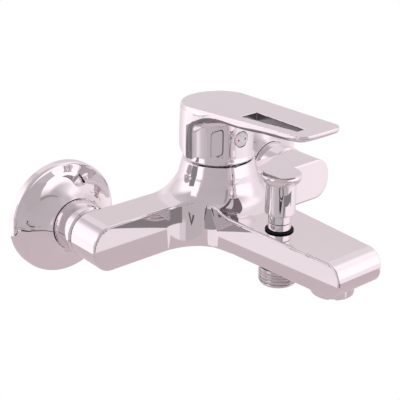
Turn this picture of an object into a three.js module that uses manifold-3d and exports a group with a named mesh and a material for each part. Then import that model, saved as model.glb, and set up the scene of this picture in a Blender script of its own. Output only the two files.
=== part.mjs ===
// Wall mounted single-lever bath and shower mixer, in millimetres.
// +Z is up, +Y runs into the wall, and the wall's face is the plane y = 0.
// The origin is on that face, midway between the hot and cold inlets.

import * as THREE from "three";
import { mergeVertices } from "three/addons/utils/BufferGeometryUtils.js";
import Module from "manifold-3d";

const wasm = await Module();
wasm.setup();

// ---------------------------------------------------------------- fits and facets
const CLEARANCE = 0.3; // between pieces that touch, screw or slide in each other
const PIN_CLEARANCE = 0.2; // round the pivot pin
const FACETS_LARGE = 40; // round the hub, flanges and nuts
const FACETS_FLANGE = 36;
const FACETS_KNOB = 28;
const FACETS_MEDIUM = 18;
const FACETS_SMALL = 12;

// ---------------------------------------------------------------- wall connections
const INLET_CENTRES = 150; // hot inlet to cold inlet
const ARM_BACK = 32.9; // wall to the back face of the arms

const FLANGE_RADIUS = 33;
const FLANGE_EDGE = 4; // height of the rim's straight edge
const FLANGE_HEIGHT = 17.4;
const FLANGE_NECK_WALL = 0.8;
const FLANGE_LIP = 2; // rounding of the rim's front edge
const FLANGE_RIM_WALL = 2.4;
const FLANGE_SHELL = 1.4;

const NUT_RADIUS = 14.75;
const NUT_WALL = 1.45; // outside the G3/4 thread
const NUT_CHAMFER = 0.9;
const NUT_REACH = 24; // length of the nut along the inlet

const STUB_RADIUS = 9.2; // inlet stub cast on the arm
const STUB_BORE = 6.5;
const STUB_LENGTH = 13.3;
const STUB_COLLAR_RADIUS = 11.6; // holds the loose nut
const STUB_COLLAR = 2.4;

const WASHER = 2; // thickness of the filter washer
const UNION_BORE = 9;
const UNION_THREAD = 9; // length of the G3/4 end
const UNION_ECCENTRIC = 8; // offset of the wall end, downwards
const UNION_NECK = 5; // length of the sloping middle
const WALL_THREAD_RADIUS = 10.3; // G1/2
const WALL_THREAD_BORE = 7.5;
const WALL_THREAD = 18; // depth in the wall

// ---------------------------------------------------------------- body
const ARM_DEPTH = 23.1;
const ARM_HEIGHT = 26.2;
const ARM_HALF_LENGTH = 89;
const ARM_END_ROUND = 11; // horizontal semi-axis of the arms' rounded ends

const HUB_FROM_WALL = 52.3;
const TOWER_TOP = 34.1;
const TOWER_RADIUS = 20.5;
const TOWER_FOOT_RADIUS = 22.3;
const FLARE_RADIUS = 16; // concave sweep from the tower onto the spout

const SPOUT_REACH = 163.5;
const SPOUT_TOP = 11;
const SPOUT_UNDERSIDE = 8; // below the inlets' axis, at the nose
const SPOUT_UNDERSIDE_ROOT = 9.4;
const SPOUT_ROOT_WIDTH = 39.8;
const SPOUT_NOSE_WIDTH = 31.5;
const SPOUT_ROOT_FILLET = 20; // where the spout's sides leave the arms
const NOSE_TOP_RADIUS = 9;
const NOSE_LOW_RADIUS = 7.7;

const CHAMBER_FLOOR = 1.5;
const INLET_PASSAGE_RADIUS = 4.2;
const INLET_PASSAGE_DROP = 6; // below the inlets' axis
const OUTLET_PASSAGE_RADIUS = 3.6;
const PORT_RADIUS = 2.8;
const PORT_X = 7;

// ---------------------------------------------------------------- ceramic cartridge
const CARTRIDGE_RADIUS = 17.35;
const SEAL_HEIGHT = 1.2;
const BASE_HEIGHT = 2.5;
const HOUSING_WALL = 2.45;
const HOUSING_SHOULDER = 24.8;
const HOUSING_TOP = 30.5;
const HOUSING_ROOF = 2.3;
const COLLAR_WALL = 1.7;
const FIXED_DISC_HEIGHT = 3.5;
const FIXED_DISC_RADIUS = 14.4;
const MOVING_DISC_HEIGHT = 3.2;
const MOVING_DISC_RADIUS = 10.3;
const DISC_LAND = 3; // sealing land round the disc's hollow
const DISC_HOLLOW = 1.4; // depth of the hollow that joins the ports
const CARRIER_RADIUS = 11.6;
const NUT_TOP = 32.8;

const TURRET_RADIUS = 10.2;
const TURRET_FLANGE_RADIUS = 14.4;
const TURRET_FLANGE = 1.8;
const TURRET_TOP = 35.8;
const PIVOT_HEIGHT = 30; // lift axis, above the inlets' axis
const PIN_RADIUS = 1.5;
const SPINDLE_SQUARE = 7;
const SPINDLE_TOP = 59;
const SPINDLE_BALL_RADIUS = 3.1;
const SPINDLE_BALL_DROP = 11.5; // ball below the lift axis
const LIFT_ANGLE = 22; // degrees, shut to fully open

const DOME_HEIGHT = 4.1; // of the trim dome above the tower
const DOME_RADIUS = 14.8;
const DOME_HOLE = 10.7;
const DOME_WALL = 1;

// ---------------------------------------------------------------- lever
const LEVER_TOP = 66.5; // top face over the hub's axis
const LEVER_RISE = 0.049; // the top face climbs towards the front
const LEVER_REACH = 81; // hub's axis to the front edge
const LEVER_ROOT_HALF_WIDTH = 19.8;
const LEVER_TIP_HALF_WIDTH = 14.05;
const LEVER_CORNER = 4.5;
const LEVER_FRONT_BOW = 0.9;
const LEVER_BACK_RADIUS = 19.9;
const LEVER_BACK_SHIFT = 2; // centre of the round back, behind the hub's axis
const LEVER_EDGE_THIN = 2.5; // side edge where it leaves the hub
const LEVER_EDGE_THICK = 4.4; // side edge over the spout
const LEVER_EDGE_FRONT = 2.6;
const SKIRT_BULGE = 1.1; // how far the rear skirt swells below the top face
const SKIRT_CURL = 14; // reach of the curve from the skirt's edge into the lever
const HUB_RADIUS = 19.6;
const HUB_FOOT_RADIUS = 20.4;
const HUB_CAVITY = 16.3;
const HUB_CEILING = 60.5;
const RIM_GAP = 1.1; // hub's lower rim above the tower
const BOSS_RADIUS = 7.6;
const BOSS_BOTTOM = 44.5;
const SCREW_HEIGHT = 49;
const SCREW_RADIUS = 2.5;
const SCREW_LENGTH = 7;
const SCREW_SLEEVE = 5.9;
const PLUG_RADIUS = 4.3;
const PLUG_DEPTH = 2.6;
const PLUG_STEM_RADIUS = 2.2;
const PLUG_STEM = 3.2;
const SLOT_REAR = 31.2; // hub's axis to the slot's square rear end
const SLOT_FRONT = 70.5;
const SLOT_REAR_X = [-11.7, -0.1];
const SLOT_FRONT_X = [-8.7, -3.3];

// ---------------------------------------------------------------- diverter and shower outlet
const DIVERTER_X = -7.1;
const DIVERTER_FROM_WALL = 111.2;
const DIVERTER_CHAMBER_RADIUS = 8.2;
const DIVERTER_ROOF = 2.8; // spout wall over the chamber
const OUTLET_FACE = 6; // shower seat below the inlets' axis
const OUTLET_END = 19.7; // end of the shower thread below the inlets' axis
const OUTLET_THREAD_RADIUS = 10.45; // G1/2
const OUTLET_SHOULDER = 9.7;
const OUTLET_BORE = 6.2;
const VALVE_RADIUS = 7;
const VALVE_HEIGHT = 1.2;
const VALVE_SEAL_HEIGHT = 0.8;
const UPPER_SEAT_BOTTOM = 3;
const UPPER_SEAT_HEIGHT = 1.2;
const UPPER_SEAT_BORE = 5;
const DIVERTER_STEM_RADIUS = 2.6;
const DIVERTER_STEM_TOP = 31;
const CHANNEL_WIDTH = 8; // flat water channel from the diverter to the aerator
const SEAL_RING_RADIUS = 7.8;
const SEAL_RING_HEIGHT = 1;
const BUSH_RADIUS = 6.3;
const BUSH_TOP = 15.8;
const BUSH_SHANK_RADIUS = 5.2;
const KNOB_RADIUS = 8.15;
const KNOB_NECK_RADIUS = 6.3;
const KNOB_CAP_RADIUS = 10.75;
const KNOB_SHOULDER = 20.6; // where the neck meets the knob's body
const KNOB_CAP_BOTTOM = 36;
const KNOB_TOP = 41;
const SPRING_RADIUS = 3.9;
const SPRING_WIRE = 0.42;
const SPRING_TURNS = 5;

// ---------------------------------------------------------------- aerator
const AERATOR_FROM_WALL = 145;
const AERATOR_RADIUS = 11.4;
const AERATOR_BOTTOM = 13.9; // below the inlets' axis
const AERATOR_THREAD_RADIUS = 10.6;
const AERATOR_SEAT = 1.9;
const AERATOR_WALL = 1.3;
const AERATOR_SHANK_TOP = 3.6;
const AERATOR_CHAMBER_RADIUS = 8;
const AERATOR_LIP = 1.1;
const NOTCH_WIDTH = 3.4;
const NOTCH_HEIGHT = 1.8;
const NOTCH_TURN = -50; // degrees from straight ahead, towards the hot side

// ---------------------------------------------------------------- finishes
const chrome = new THREE.MeshStandardMaterial({ color: 0xe4dfe4, roughness: 0.06, metalness: 1 });
const brass = new THREE.MeshStandardMaterial({ color: 0xc9a45c, roughness: 0.35, metalness: 1 });
const steel = new THREE.MeshStandardMaterial({ color: 0xb9bcc0, roughness: 0.3, metalness: 1 });
const ceramic = new THREE.MeshStandardMaterial({ color: 0xf0ece2, roughness: 0.25, metalness: 0 });
const plastic = new THREE.MeshStandardMaterial({ color: 0xe8e6df, roughness: 0.5, metalness: 0 });
const rubber = new THREE.MeshStandardMaterial({ color: 0x141414, roughness: 0.7, metalness: 0 });
const plugWhite = new THREE.MeshStandardMaterial({ color: 0xf3f1f3, roughness: 0.2, metalness: 0 });

// ---------------------------------------------------------------- solids
const degrees = THREE.MathUtils.degToRad;

// A closed three.js geometry as a manifold-3d solid with its faces out.
function solid(geometry) {
  const bare = geometry.clone();
  bare.deleteAttribute("normal");
  bare.deleteAttribute("uv");
  const merged = mergeVertices(bare, 1e-4);
  const index = merged.index.array;
  const triangles = [];
  for (let i = 0; i < index.length; i += 3) {
    const [a, b, c] = [index[i], index[i + 1], index[i + 2]];
    if (a !== b && b !== c && c !== a) triangles.push(a, b, c);
  }
  const build = (triVerts) =>
    new wasm.Manifold(
      new wasm.Mesh({ numProp: 3, vertProperties: merged.attributes.position.array, triVerts }),
    );
  const made = build(new Uint32Array(triangles));
  return made.volume() > 0 ? made : build(new Uint32Array(triangles).reverse());
}

// A named mesh of a solid, placed where its own frame's origin belongs.
function piece(name, shape, material, place = [0, 0, 0]) {
  const data = shape.getMesh();
  const geometry = new THREE.BufferGeometry();
  geometry.setAttribute("position", new THREE.BufferAttribute(data.vertProperties, 3));
  geometry.setIndex(new THREE.BufferAttribute(data.triVerts, 1));
  geometry.computeVertexNormals();
  const mesh = new THREE.Mesh(geometry, material);
  mesh.name = name;
  mesh.position.set(...place);
  return mesh;
}

const point = (x, y) => new THREE.Vector2(x, y);

// Points of a round stretch, from angle a to angle b in degrees.
function arc(cx, cy, radius, a, b, steps) {
  const points = [];
  for (let i = 0; i <= steps; i++) {
    const t = degrees(a + ((b - a) * i) / steps);
    points.push(point(cx + radius * Math.cos(t), cy + radius * Math.sin(t)));
  }
  return points;
}

// Points of a smooth bend from p to q that leaves towards the bend's corner.
function bend(p, corner, q, steps) {
  return new THREE.QuadraticBezierCurve(p, corner, q).getPoints(steps);
}

// A turned piece on an upright axis: profile points are (radius, height).
function turned(profile, facets, at = [0, 0]) {
  return solid(new THREE.LatheGeometry(profile, facets).rotateX(Math.PI / 2).translate(...at, 0));
}

// A turned piece on the Y axis: profile points are (radius, y).
function turnedAlongY(profile, facets, height = 0) {
  return solid(new THREE.LatheGeometry(profile, facets).translate(0, 0, height));
}

// An upright ring, as a closed profile.
function ring(inner, outer, bottom, top, facets) {
  const corners = [point(inner, bottom), point(outer, bottom), point(outer, top), point(inner, top)];
  return turned([...corners, corners[0]], facets);
}

// An upright round bar.
function rod(radius, bottom, top, facets, at = [0, 0]) {
  return turned([point(0, bottom), point(radius, bottom), point(radius, top), point(0, top)], facets, at);
}

// A round bar between two places.
function bar(from, to, radius, facets) {
  const a = new THREE.Vector3(...from);
  const b = new THREE.Vector3(...to);
  const geometry = new THREE.CylinderGeometry(radius, radius, a.distanceTo(b), facets);
  const turn = new THREE.Quaternion().setFromUnitVectors(
    new THREE.Vector3(0, 1, 0),
    b.clone().sub(a).normalize(),
  );
  geometry.applyQuaternion(turn);
  const middle = a.add(b).multiplyScalar(0.5);
  return solid(geometry.translate(middle.x, middle.y, middle.z));
}

function block(sizeX, sizeY, sizeZ, x, y, z) {
  return solid(new THREE.BoxGeometry(sizeX, sizeY, sizeZ).translate(x, y, z));
}

// A flat outline in the XY plane, raised from bottom to top.
function raised(outline, bottom, top) {
  const depth = top - bottom;
  const geometry = new THREE.ExtrudeGeometry(new THREE.Shape(outline), { depth, bevelEnabled: false });
  return solid(geometry.translate(0, 0, bottom));
}

// An outline of (distance in front of the origin, height), drawn across from -x to +x.
function drawnAcross(outline, halfWidth) {
  const depth = 2 * halfWidth;
  const geometry = new THREE.ExtrudeGeometry(new THREE.Shape(outline), { depth, bevelEnabled: false });
  const forward = new THREE.Vector3(0, -1, 0);
  const up = new THREE.Vector3(0, 0, 1);
  const left = new THREE.Vector3(-1, 0, 0);
  geometry.applyMatrix4(new THREE.Matrix4().makeBasis(forward, up, left));
  return solid(geometry.translate(halfWidth, 0, 0));
}

// A skin through outlines of equal length, one at each height.
function lofted(outlines, heights) {
  const count = outlines[0].length;
  const positions = outlines.flatMap((outline, level) =>
    outline.flatMap((p) => [p.x, p.y, heights[level]]),
  );
  const index = [];
  for (let level = 0; level + 1 < outlines.length; level++) {
    for (let i = 0; i < count; i++) {
      const j = (i + 1) % count;
      const [a, b] = [level * count + i, level * count + j];
      index.push(a, b, b + count, a, b + count, a + count);
    }
  }
  const topLevel = (outlines.length - 1) * count;
  for (const [a, b, c] of THREE.ShapeUtils.triangulateShape(outlines[0], [])) {
    index.push(a, c, b);
    index.push(topLevel + a, topLevel + b, topLevel + c);
  }
  const geometry = new THREE.BufferGeometry();
  geometry.setAttribute("position", new THREE.Float32BufferAttribute(positions, 3));
  geometry.setIndex(index);
  return solid(geometry);
}

// ---------------------------------------------------------------- derived places
const inletX = INLET_CENTRES / 2;
const hubPlace = [0, -HUB_FROM_WALL];
const diverterPlace = [DIVERTER_X, -DIVERTER_FROM_WALL];
const aeratorPlace = [0, -AERATOR_FROM_WALL];
const armFront = ARM_BACK + ARM_DEPTH;
const armHalfHeight = ARM_HEIGHT / 2;
const stubEnd = ARM_BACK - STUB_LENGTH;
const washerFront = stubEnd - CLEARANCE;
const unionFront = washerFront - WASHER - CLEARANCE;
const unionRadius = NUT_RADIUS - NUT_WALL - CLEARANCE;
const chamberRadius = CARTRIDGE_RADIUS + CLEARANCE;

const baseBottom = CHAMBER_FLOOR + SEAL_HEIGHT + 2 * CLEARANCE;
const housingBottom = baseBottom + BASE_HEIGHT + CLEARANCE;
const movingDiscBottom = housingBottom + FIXED_DISC_HEIGHT + CLEARANCE;
const carrierBottom = movingDiscBottom + MOVING_DISC_HEIGHT + CLEARANCE;
const ballHeight = PIVOT_HEIGHT - SPINDLE_BALL_DROP;
const discTravel = SPINDLE_BALL_DROP * Math.sin(degrees(LIFT_ANGLE));
const housingBore = CARTRIDGE_RADIUS - HOUSING_WALL;
const collarBore = TURRET_RADIUS + CLEARANCE;
const collarRadius = collarBore + COLLAR_WALL;
const turretBottom = HOUSING_SHOULDER - HOUSING_ROOF - CLEARANCE - TURRET_FLANGE;

const diverterChamberTop = SPOUT_TOP - DIVERTER_ROOF;
const sealBottom = CLEARANCE - OUTLET_FACE;
const valveTop = sealBottom + VALVE_SEAL_HEIGHT + VALVE_HEIGHT;

// ---------------------------------------------------------------- wall side pieces
// Bell-shaped cover of the hole in the wall; its neck slides on the union nut.
function wallFlange() {
  const neck = NUT_RADIUS + CLEARANCE;
  const neckOuter = neck + FLANGE_NECK_WALL;
  const edge = point(FLANGE_RADIUS, -FLANGE_EDGE);
  const shoulder = point(FLANGE_RADIUS - FLANGE_LIP, -FLANGE_EDGE - FLANGE_LIP);
  const lipCorner = point(FLANGE_RADIUS, -FLANGE_EDGE - 0.8 * FLANGE_LIP);
  const rim = [point(FLANGE_RADIUS, 0), ...bend(edge, lipCorner, shoulder, 3)];
  const bellCorner = point(neckOuter + 5, shoulder.y - 1.6);
  const bell = bend(shoulder, bellCorner, point(neckOuter, -FLANGE_HEIGHT + 0.5), 5);
  const lip = [point(neckOuter - 0.3, -FLANGE_HEIGHT), point(neck, -FLANGE_HEIGHT)];
  const innerRim = FLANGE_RADIUS - FLANGE_RIM_WALL;
  const innerDepth = shoulder.y + FLANGE_SHELL;
  const inside = bend(point(neck, -FLANGE_HEIGHT + 4), point(neck + 4, innerDepth), point(innerRim, innerDepth), 3);
  const profile = [...rim, ...bell.slice(1), ...lip, ...inside, point(innerRim, 0)];
  return turnedAlongY([...profile, profile[0]], FACETS_FLANGE);
}

// Round union nut, held on the body's stub by its inner lip.
function unionNut() {
  const front = -ARM_BACK + CLEARANCE;
  const back = front + NUT_REACH;
  const lipEnd = -stubEnd - STUB_COLLAR - CLEARANCE;
  const stubHole = STUB_RADIUS + CLEARANCE;
  const threadHole = NUT_RADIUS - NUT_WALL;
  const profile = [
    point(stubHole, front),
    point(NUT_RADIUS - NUT_CHAMFER, front),
    point(NUT_RADIUS, front + NUT_CHAMFER),
    point(NUT_RADIUS, back),
    point(threadHole, back),
    point(threadHole, lipEnd),
    point(stubHole, lipEnd),
  ];
  return turnedAlongY([...profile, profile[0]], FACETS_KNOB);
}

// Rubber washer with the inlet's filter, between the stub and the S-union.
function filterWasher() {
  const corners = [
    point(STUB_BORE, -washerFront),
    point(STUB_COLLAR_RADIUS, -washerFront),
    point(STUB_COLLAR_RADIUS, -washerFront + WASHER),
    point(STUB_BORE, -washerFront + WASHER),
  ];
  return turnedAlongY([...corners, corners[0]], FACETS_MEDIUM);
}

// A round stretch that slides down by the eccentric offset between its ends.
function eccentricStretch(frontRadius, backRadius, front, back) {
  const length = back - front;
  const geometry = new THREE.CylinderGeometry(backRadius, frontRadius, length, FACETS_MEDIUM);
  const slope = -UNION_ECCENTRIC / length;
  const shear = new THREE.Matrix4().set(1, 0, 0, 0, 0, 1, 0, 0, 0, slope, 1, -UNION_ECCENTRIC / 2, 0, 0, 0, 1);
  geometry.applyMatrix4(shear);
  return solid(geometry.translate(0, front + length / 2, 0));
}

// Eccentric S-union: G3/4 towards the mixer, G1/2 in the wall.
function sUnion() {
  const threadEnd = -unionFront + UNION_THREAD;
  const neckEnd = threadEnd + UNION_NECK;
  const lap = 0.05;
  const low = -UNION_ECCENTRIC;
  const outer = bar([0, -unionFront, 0], [0, threadEnd + lap, 0], unionRadius, FACETS_MEDIUM)
    .add(eccentricStretch(unionRadius, WALL_THREAD_RADIUS, threadEnd, neckEnd))
    .add(bar([0, neckEnd - lap, low], [0, WALL_THREAD, low], WALL_THREAD_RADIUS, FACETS_MEDIUM));
  return outer
    .subtract(bar([0, -unionFront - 1, 0], [0, threadEnd + lap, 0], UNION_BORE, FACETS_SMALL))
    .subtract(eccentricStretch(UNION_BORE, WALL_THREAD_BORE, threadEnd, neckEnd))
    .subtract(bar([0, neckEnd - lap, low], [0, WALL_THREAD + 1, low], WALL_THREAD_BORE, FACETS_SMALL));
}

// ---------------------------------------------------------------- body casting
const spoutHalfWidth = (fromWall) =>
  THREE.MathUtils.mapLinear(
    fromWall,
    armFront + SPOUT_ROOT_FILLET,
    SPOUT_REACH,
    SPOUT_ROOT_WIDTH / 2,
    SPOUT_NOSE_WIDTH / 2,
  );

// The arms' section: flat top and bottom with elliptical ends, seen from the front.
function armSection() {
  const flat = ARM_HALF_LENGTH - ARM_END_ROUND;
  const end = (side) =>
    arc(0, 0, 1, side > 0 ? -90 : 90, side > 0 ? 90 : 270, 14).map((p) =>
      point(side * flat + p.x * ARM_END_ROUND, p.y * armHalfHeight),
    );
  const geometry = new THREE.ExtrudeGeometry(new THREE.Shape([...end(1), ...end(-1)]), {
    depth: ARM_DEPTH,
    bevelEnabled: false,
  });
  return solid(geometry.rotateX(Math.PI / 2).translate(0, -ARM_BACK, 0));
}

// The body seen from above: arms' strip, root fillets and the tapered spout.
function planOutline(back) {
  const fillet = SPOUT_ROOT_FILLET;
  const centreX = spoutHalfWidth(armFront + fillet) + fillet;
  const right = arc(centreX, -armFront - fillet, fillet, 90, 180, 10);
  const nose = point(spoutHalfWidth(SPOUT_REACH), -SPOUT_REACH);
  const half = [point(centreX, -back), ...right, nose];
  const mirrored = half.map((p) => point(-p.x, p.y)).reverse();
  return [...half, ...mirrored];
}

// The body seen from the side: level top, rounded nose, underside rising from the arms.
function sideOutline() {
  const root = armFront + SPOUT_ROOT_FILLET + 12;
  const lowX = SPOUT_REACH - NOSE_LOW_RADIUS;
  const highX = SPOUT_REACH - NOSE_TOP_RADIUS;
  const underside = bend(
    point(armFront, -armHalfHeight),
    point(armFront + SPOUT_ROOT_FILLET, -SPOUT_UNDERSIDE_ROOT - 0.8),
    point(root, -SPOUT_UNDERSIDE_ROOT),
    7,
  );
  return [
    point(ARM_BACK, SPOUT_TOP),
    point(ARM_BACK, -armHalfHeight),
    ...underside,
    ...arc(lowX, NOSE_LOW_RADIUS - SPOUT_UNDERSIDE, NOSE_LOW_RADIUS, -90, 0, 6),
    ...arc(highX, SPOUT_TOP - NOSE_TOP_RADIUS, NOSE_TOP_RADIUS, 0, 90, 7),
  ];
}

// Tower with its concave foot, on the hub's axis.
function tower() {
  const footHeight = SPOUT_TOP + FLARE_RADIUS;
  const flareEnd = TOWER_FOOT_RADIUS + FLARE_RADIUS;
  const profile = [
    point(0, 0),
    point(flareEnd, 0),
    ...arc(flareEnd, footHeight, FLARE_RADIUS, 270, 180, 9),
    point(TOWER_RADIUS, TOWER_TOP - 0.4),
    point(TOWER_RADIUS - 0.4, TOWER_TOP),
    point(0, TOWER_TOP),
  ];
  return turned(profile, FACETS_LARGE, hubPlace);
}

function inletStub(side) {
  const x = side * inletX;
  const root = -ARM_BACK - 2;
  return bar([x, root, 0], [x, -stubEnd, 0], STUB_RADIUS, FACETS_MEDIUM).add(
    bar([x, -stubEnd - STUB_COLLAR, 0], [x, -stubEnd, 0], STUB_COLLAR_RADIUS, FACETS_MEDIUM),
  );
}

// Water ways from one inlet to its port in the chamber's floor.
function inletPassage(side) {
  const x = side * inletX;
  const y = -(ARM_BACK + armFront) / 2;
  const low = -INLET_PASSAGE_DROP;
  const portX = side * PORT_X;
  return bar([x, 1 - stubEnd, 0], [x, y - INLET_PASSAGE_RADIUS, 0], STUB_BORE, FACETS_SMALL)
    .add(bar([x, y, low], [portX, y, low], INLET_PASSAGE_RADIUS, FACETS_SMALL))
    .add(bar([portX, y, low], [portX, y, CHAMBER_FLOOR + 1], PORT_RADIUS, FACETS_SMALL));
}

// Water way from the chamber's front port to the diverter, and on to the aerator.
function outletPassages() {
  const portY = -HUB_FROM_WALL - PORT_X - 1;
  const portLow = -OUTLET_PASSAGE_RADIUS;
  const way = bar(
    [0, portY, portLow],
    [DIVERTER_X, -DIVERTER_FROM_WALL, -1],
    OUTLET_PASSAGE_RADIUS,
    FACETS_SMALL,
  );
  const port = bar([0, portY, portLow], [0, portY, CHAMBER_FLOOR + 1], PORT_RADIUS, FACETS_SMALL);
  const seatTop = UPPER_SEAT_BOTTOM + UPPER_SEAT_HEIGHT;
  const height = diverterChamberTop - seatTop;
  const length = AERATOR_FROM_WALL - DIVERTER_FROM_WALL;
  const channel = block(
    CHANNEL_WIDTH,
    length,
    height,
    DIVERTER_X + CHANNEL_WIDTH / 3,
    -DIVERTER_FROM_WALL - length / 2,
    seatTop + height / 2,
  );
  return way.add(port).add(channel);
}

function diverterBores() {
  const place = diverterPlace;
  const shankHole = BUSH_SHANK_RADIUS + CLEARANCE;
  const spotFace = OUTLET_THREAD_RADIUS + CLEARANCE;
  return rod(DIVERTER_CHAMBER_RADIUS, -armHalfHeight, diverterChamberTop, FACETS_MEDIUM, place)
    .add(rod(shankHole, diverterChamberTop - 1, SPOUT_TOP + 1, FACETS_MEDIUM, place))
    .add(rod(spotFace, -armHalfHeight, CLEARANCE - OUTLET_SHOULDER, FACETS_KNOB, place));
}

function aeratorBores() {
  const place = aeratorPlace;
  return rod(AERATOR_THREAD_RADIUS + CLEARANCE, -armHalfHeight, -AERATOR_SEAT, FACETS_KNOB, place).add(
    rod(AERATOR_CHAMBER_RADIUS, -AERATOR_SEAT - 1, diverterChamberTop, FACETS_MEDIUM, place),
  );
}

function bodyCasting() {
  const plan = planOutline(ARM_BACK);
  const round = rod(TOWER_FOOT_RADIUS, -armHalfHeight, TOWER_TOP + 1, FACETS_LARGE, hubPlace);
  const neck = tower().intersect(raised(plan, -armHalfHeight, TOWER_TOP + 1).add(round));
  const footHeight = SPOUT_TOP + FLARE_RADIUS;
  const backBulge = rod(TOWER_FOOT_RADIUS, -armHalfHeight, footHeight, FACETS_LARGE, hubPlace);
  const spout = raised(plan, -armHalfHeight - 1, SPOUT_TOP + 1).intersect(
    drawnAcross(sideOutline(), SPOUT_ROOT_WIDTH + SPOUT_ROOT_FILLET),
  );
  const chamber = rod(chamberRadius, CHAMBER_FLOOR, TOWER_TOP + 1, FACETS_LARGE, hubPlace);
  return armSection()
    .add(backBulge)
    .add(neck)
    .add(spout)
    .add(inletStub(-1))
    .add(inletStub(1))
    .subtract(chamber)
    .subtract(inletPassage(-1))
    .subtract(inletPassage(1))
    .subtract(outletPassages())
    .subtract(diverterBores())
    .subtract(aeratorBores());
}

// ---------------------------------------------------------------- cartridge, on the hub's axis
// Three ports: hot and cold at the back, mixed water at the front.
function ports(bottom, top) {
  const backY = HUB_FROM_WALL - (ARM_BACK + armFront) / 2;
  return [
    [PORT_X, backY],
    [-PORT_X, backY],
    [0, -PORT_X - 1],
  ].map((place) => rod(PORT_RADIUS, bottom, top, FACETS_SMALL, place));
}

function withPorts(shape, bottom, top) {
  return ports(bottom - 1, top + 1).reduce((whole, hole) => whole.subtract(hole), shape);
}

function baseSeal() {
  const bottom = CHAMBER_FLOOR + CLEARANCE;
  const top = bottom + SEAL_HEIGHT;
  return withPorts(rod(CARTRIDGE_RADIUS - 2, bottom, top, FACETS_MEDIUM), bottom, top);
}

function cartridgeBase() {
  const top = baseBottom + BASE_HEIGHT;
  return withPorts(rod(CARTRIDGE_RADIUS, baseBottom, top, FACETS_MEDIUM), baseBottom, top);
}

function fixedDisc() {
  const top = housingBottom + FIXED_DISC_HEIGHT;
  return withPorts(rod(FIXED_DISC_RADIUS, housingBottom, top, FACETS_MEDIUM), housingBottom, top);
}

// Cup that holds the discs; the turret turns in its collar.
function cartridgeHousing() {
  const roof = HOUSING_SHOULDER - HOUSING_ROOF;
  const profile = [
    point(housingBore, housingBottom),
    point(CARTRIDGE_RADIUS, housingBottom),
    point(CARTRIDGE_RADIUS, HOUSING_SHOULDER),
    point(collarRadius, HOUSING_SHOULDER),
    point(collarRadius, HOUSING_TOP),
    point(collarBore, HOUSING_TOP),
    point(collarBore, roof),
    point(housingBore, roof),
  ];
  return turned([...profile, profile[0]], FACETS_MEDIUM);
}

function cartridgeNut() {
  const bottom = HOUSING_SHOULDER + CLEARANCE;
  return ring(collarRadius + CLEARANCE, CARTRIDGE_RADIUS, bottom, NUT_TOP, FACETS_MEDIUM);
}

// Thin domed ring that hides the cartridge when the lever is raised.
function trimDome() {
  const seat = NUT_TOP + CLEARANCE;
  const top = TOWER_TOP + DOME_HEIGHT;
  const edge = TOWER_TOP - 0.1;
  const outer = bend(point(DOME_RADIUS, edge), point(DOME_RADIUS - 0.7, top), point(DOME_HOLE, top), 4);
  const inner = bend(
    point(DOME_HOLE, top - DOME_WALL),
    point(DOME_RADIUS - 0.7 - DOME_WALL, top - DOME_WALL),
    point(DOME_RADIUS - DOME_WALL, seat),
    3,
  );
  const profile = [point(CARTRIDGE_RADIUS, seat), point(CARTRIDGE_RADIUS, edge), ...outer, ...inner];
  return turned([...profile, profile[0]], FACETS_MEDIUM);
}

// Turning head of the cartridge, slotted for the spindle's tilt.
function turret() {
  const roof = turretBottom + TURRET_FLANGE;
  const profile = [
    point(0, turretBottom),
    point(TURRET_FLANGE_RADIUS, turretBottom),
    point(TURRET_FLANGE_RADIUS, roof),
    point(TURRET_RADIUS, roof),
    point(TURRET_RADIUS, TURRET_TOP),
    point(0, TURRET_TOP),
  ];
  const halfWidth = SPINDLE_SQUARE / 2 + CLEARANCE;
  const rearReach = (TURRET_TOP - PIVOT_HEIGHT) * Math.tan(degrees(LIFT_ANGLE)) + halfWidth + CLEARANCE;
  const frontReach = discTravel + SPINDLE_BALL_RADIUS + 2 * CLEARANCE;
  const slotLength = rearReach + frontReach;
  const slotHeight = 2 * (TURRET_TOP - turretBottom);
  const slotY = (rearReach - frontReach) / 2;
  const slot = block(2 * halfWidth, slotLength, slotHeight, 0, slotY, (TURRET_TOP + turretBottom) / 2);
  const pinHole = bar(
    [-TURRET_RADIUS - 1, 0, PIVOT_HEIGHT],
    [TURRET_RADIUS + 1, 0, PIVOT_HEIGHT],
    PIN_RADIUS + PIN_CLEARANCE,
    FACETS_SMALL,
  );
  return turned(profile, FACETS_MEDIUM).subtract(slot).subtract(pinHole);
}

function pivotPin() {
  const half = TURRET_RADIUS - CLEARANCE;
  return bar([-half, 0, PIVOT_HEIGHT], [half, 0, PIVOT_HEIGHT], PIN_RADIUS, FACETS_SMALL);
}

// The disc that opens and mixes: shut it lies back, and it slides forward with the lift.
function movingDisc() {
  const top = movingDiscBottom + MOVING_DISC_HEIGHT;
  const place = [0, discTravel / 2];
  const hollowTop = movingDiscBottom + DISC_HOLLOW;
  return rod(MOVING_DISC_RADIUS, movingDiscBottom, top, FACETS_MEDIUM, place).subtract(
    rod(MOVING_DISC_RADIUS - DISC_LAND, movingDiscBottom - 1, hollowTop, FACETS_SMALL, place),
  );
}

function discCarrier() {
  const top = turretBottom - CLEARANCE;
  const socketBottom = ballHeight - SPINDLE_BALL_RADIUS - CLEARANCE;
  const socket = rod(SPINDLE_BALL_RADIUS + CLEARANCE, socketBottom, top + 1, FACETS_SMALL);
  return rod(CARRIER_RADIUS, carrierBottom, top, FACETS_MEDIUM, [0, discTravel / 2]).subtract(socket);
}

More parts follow.
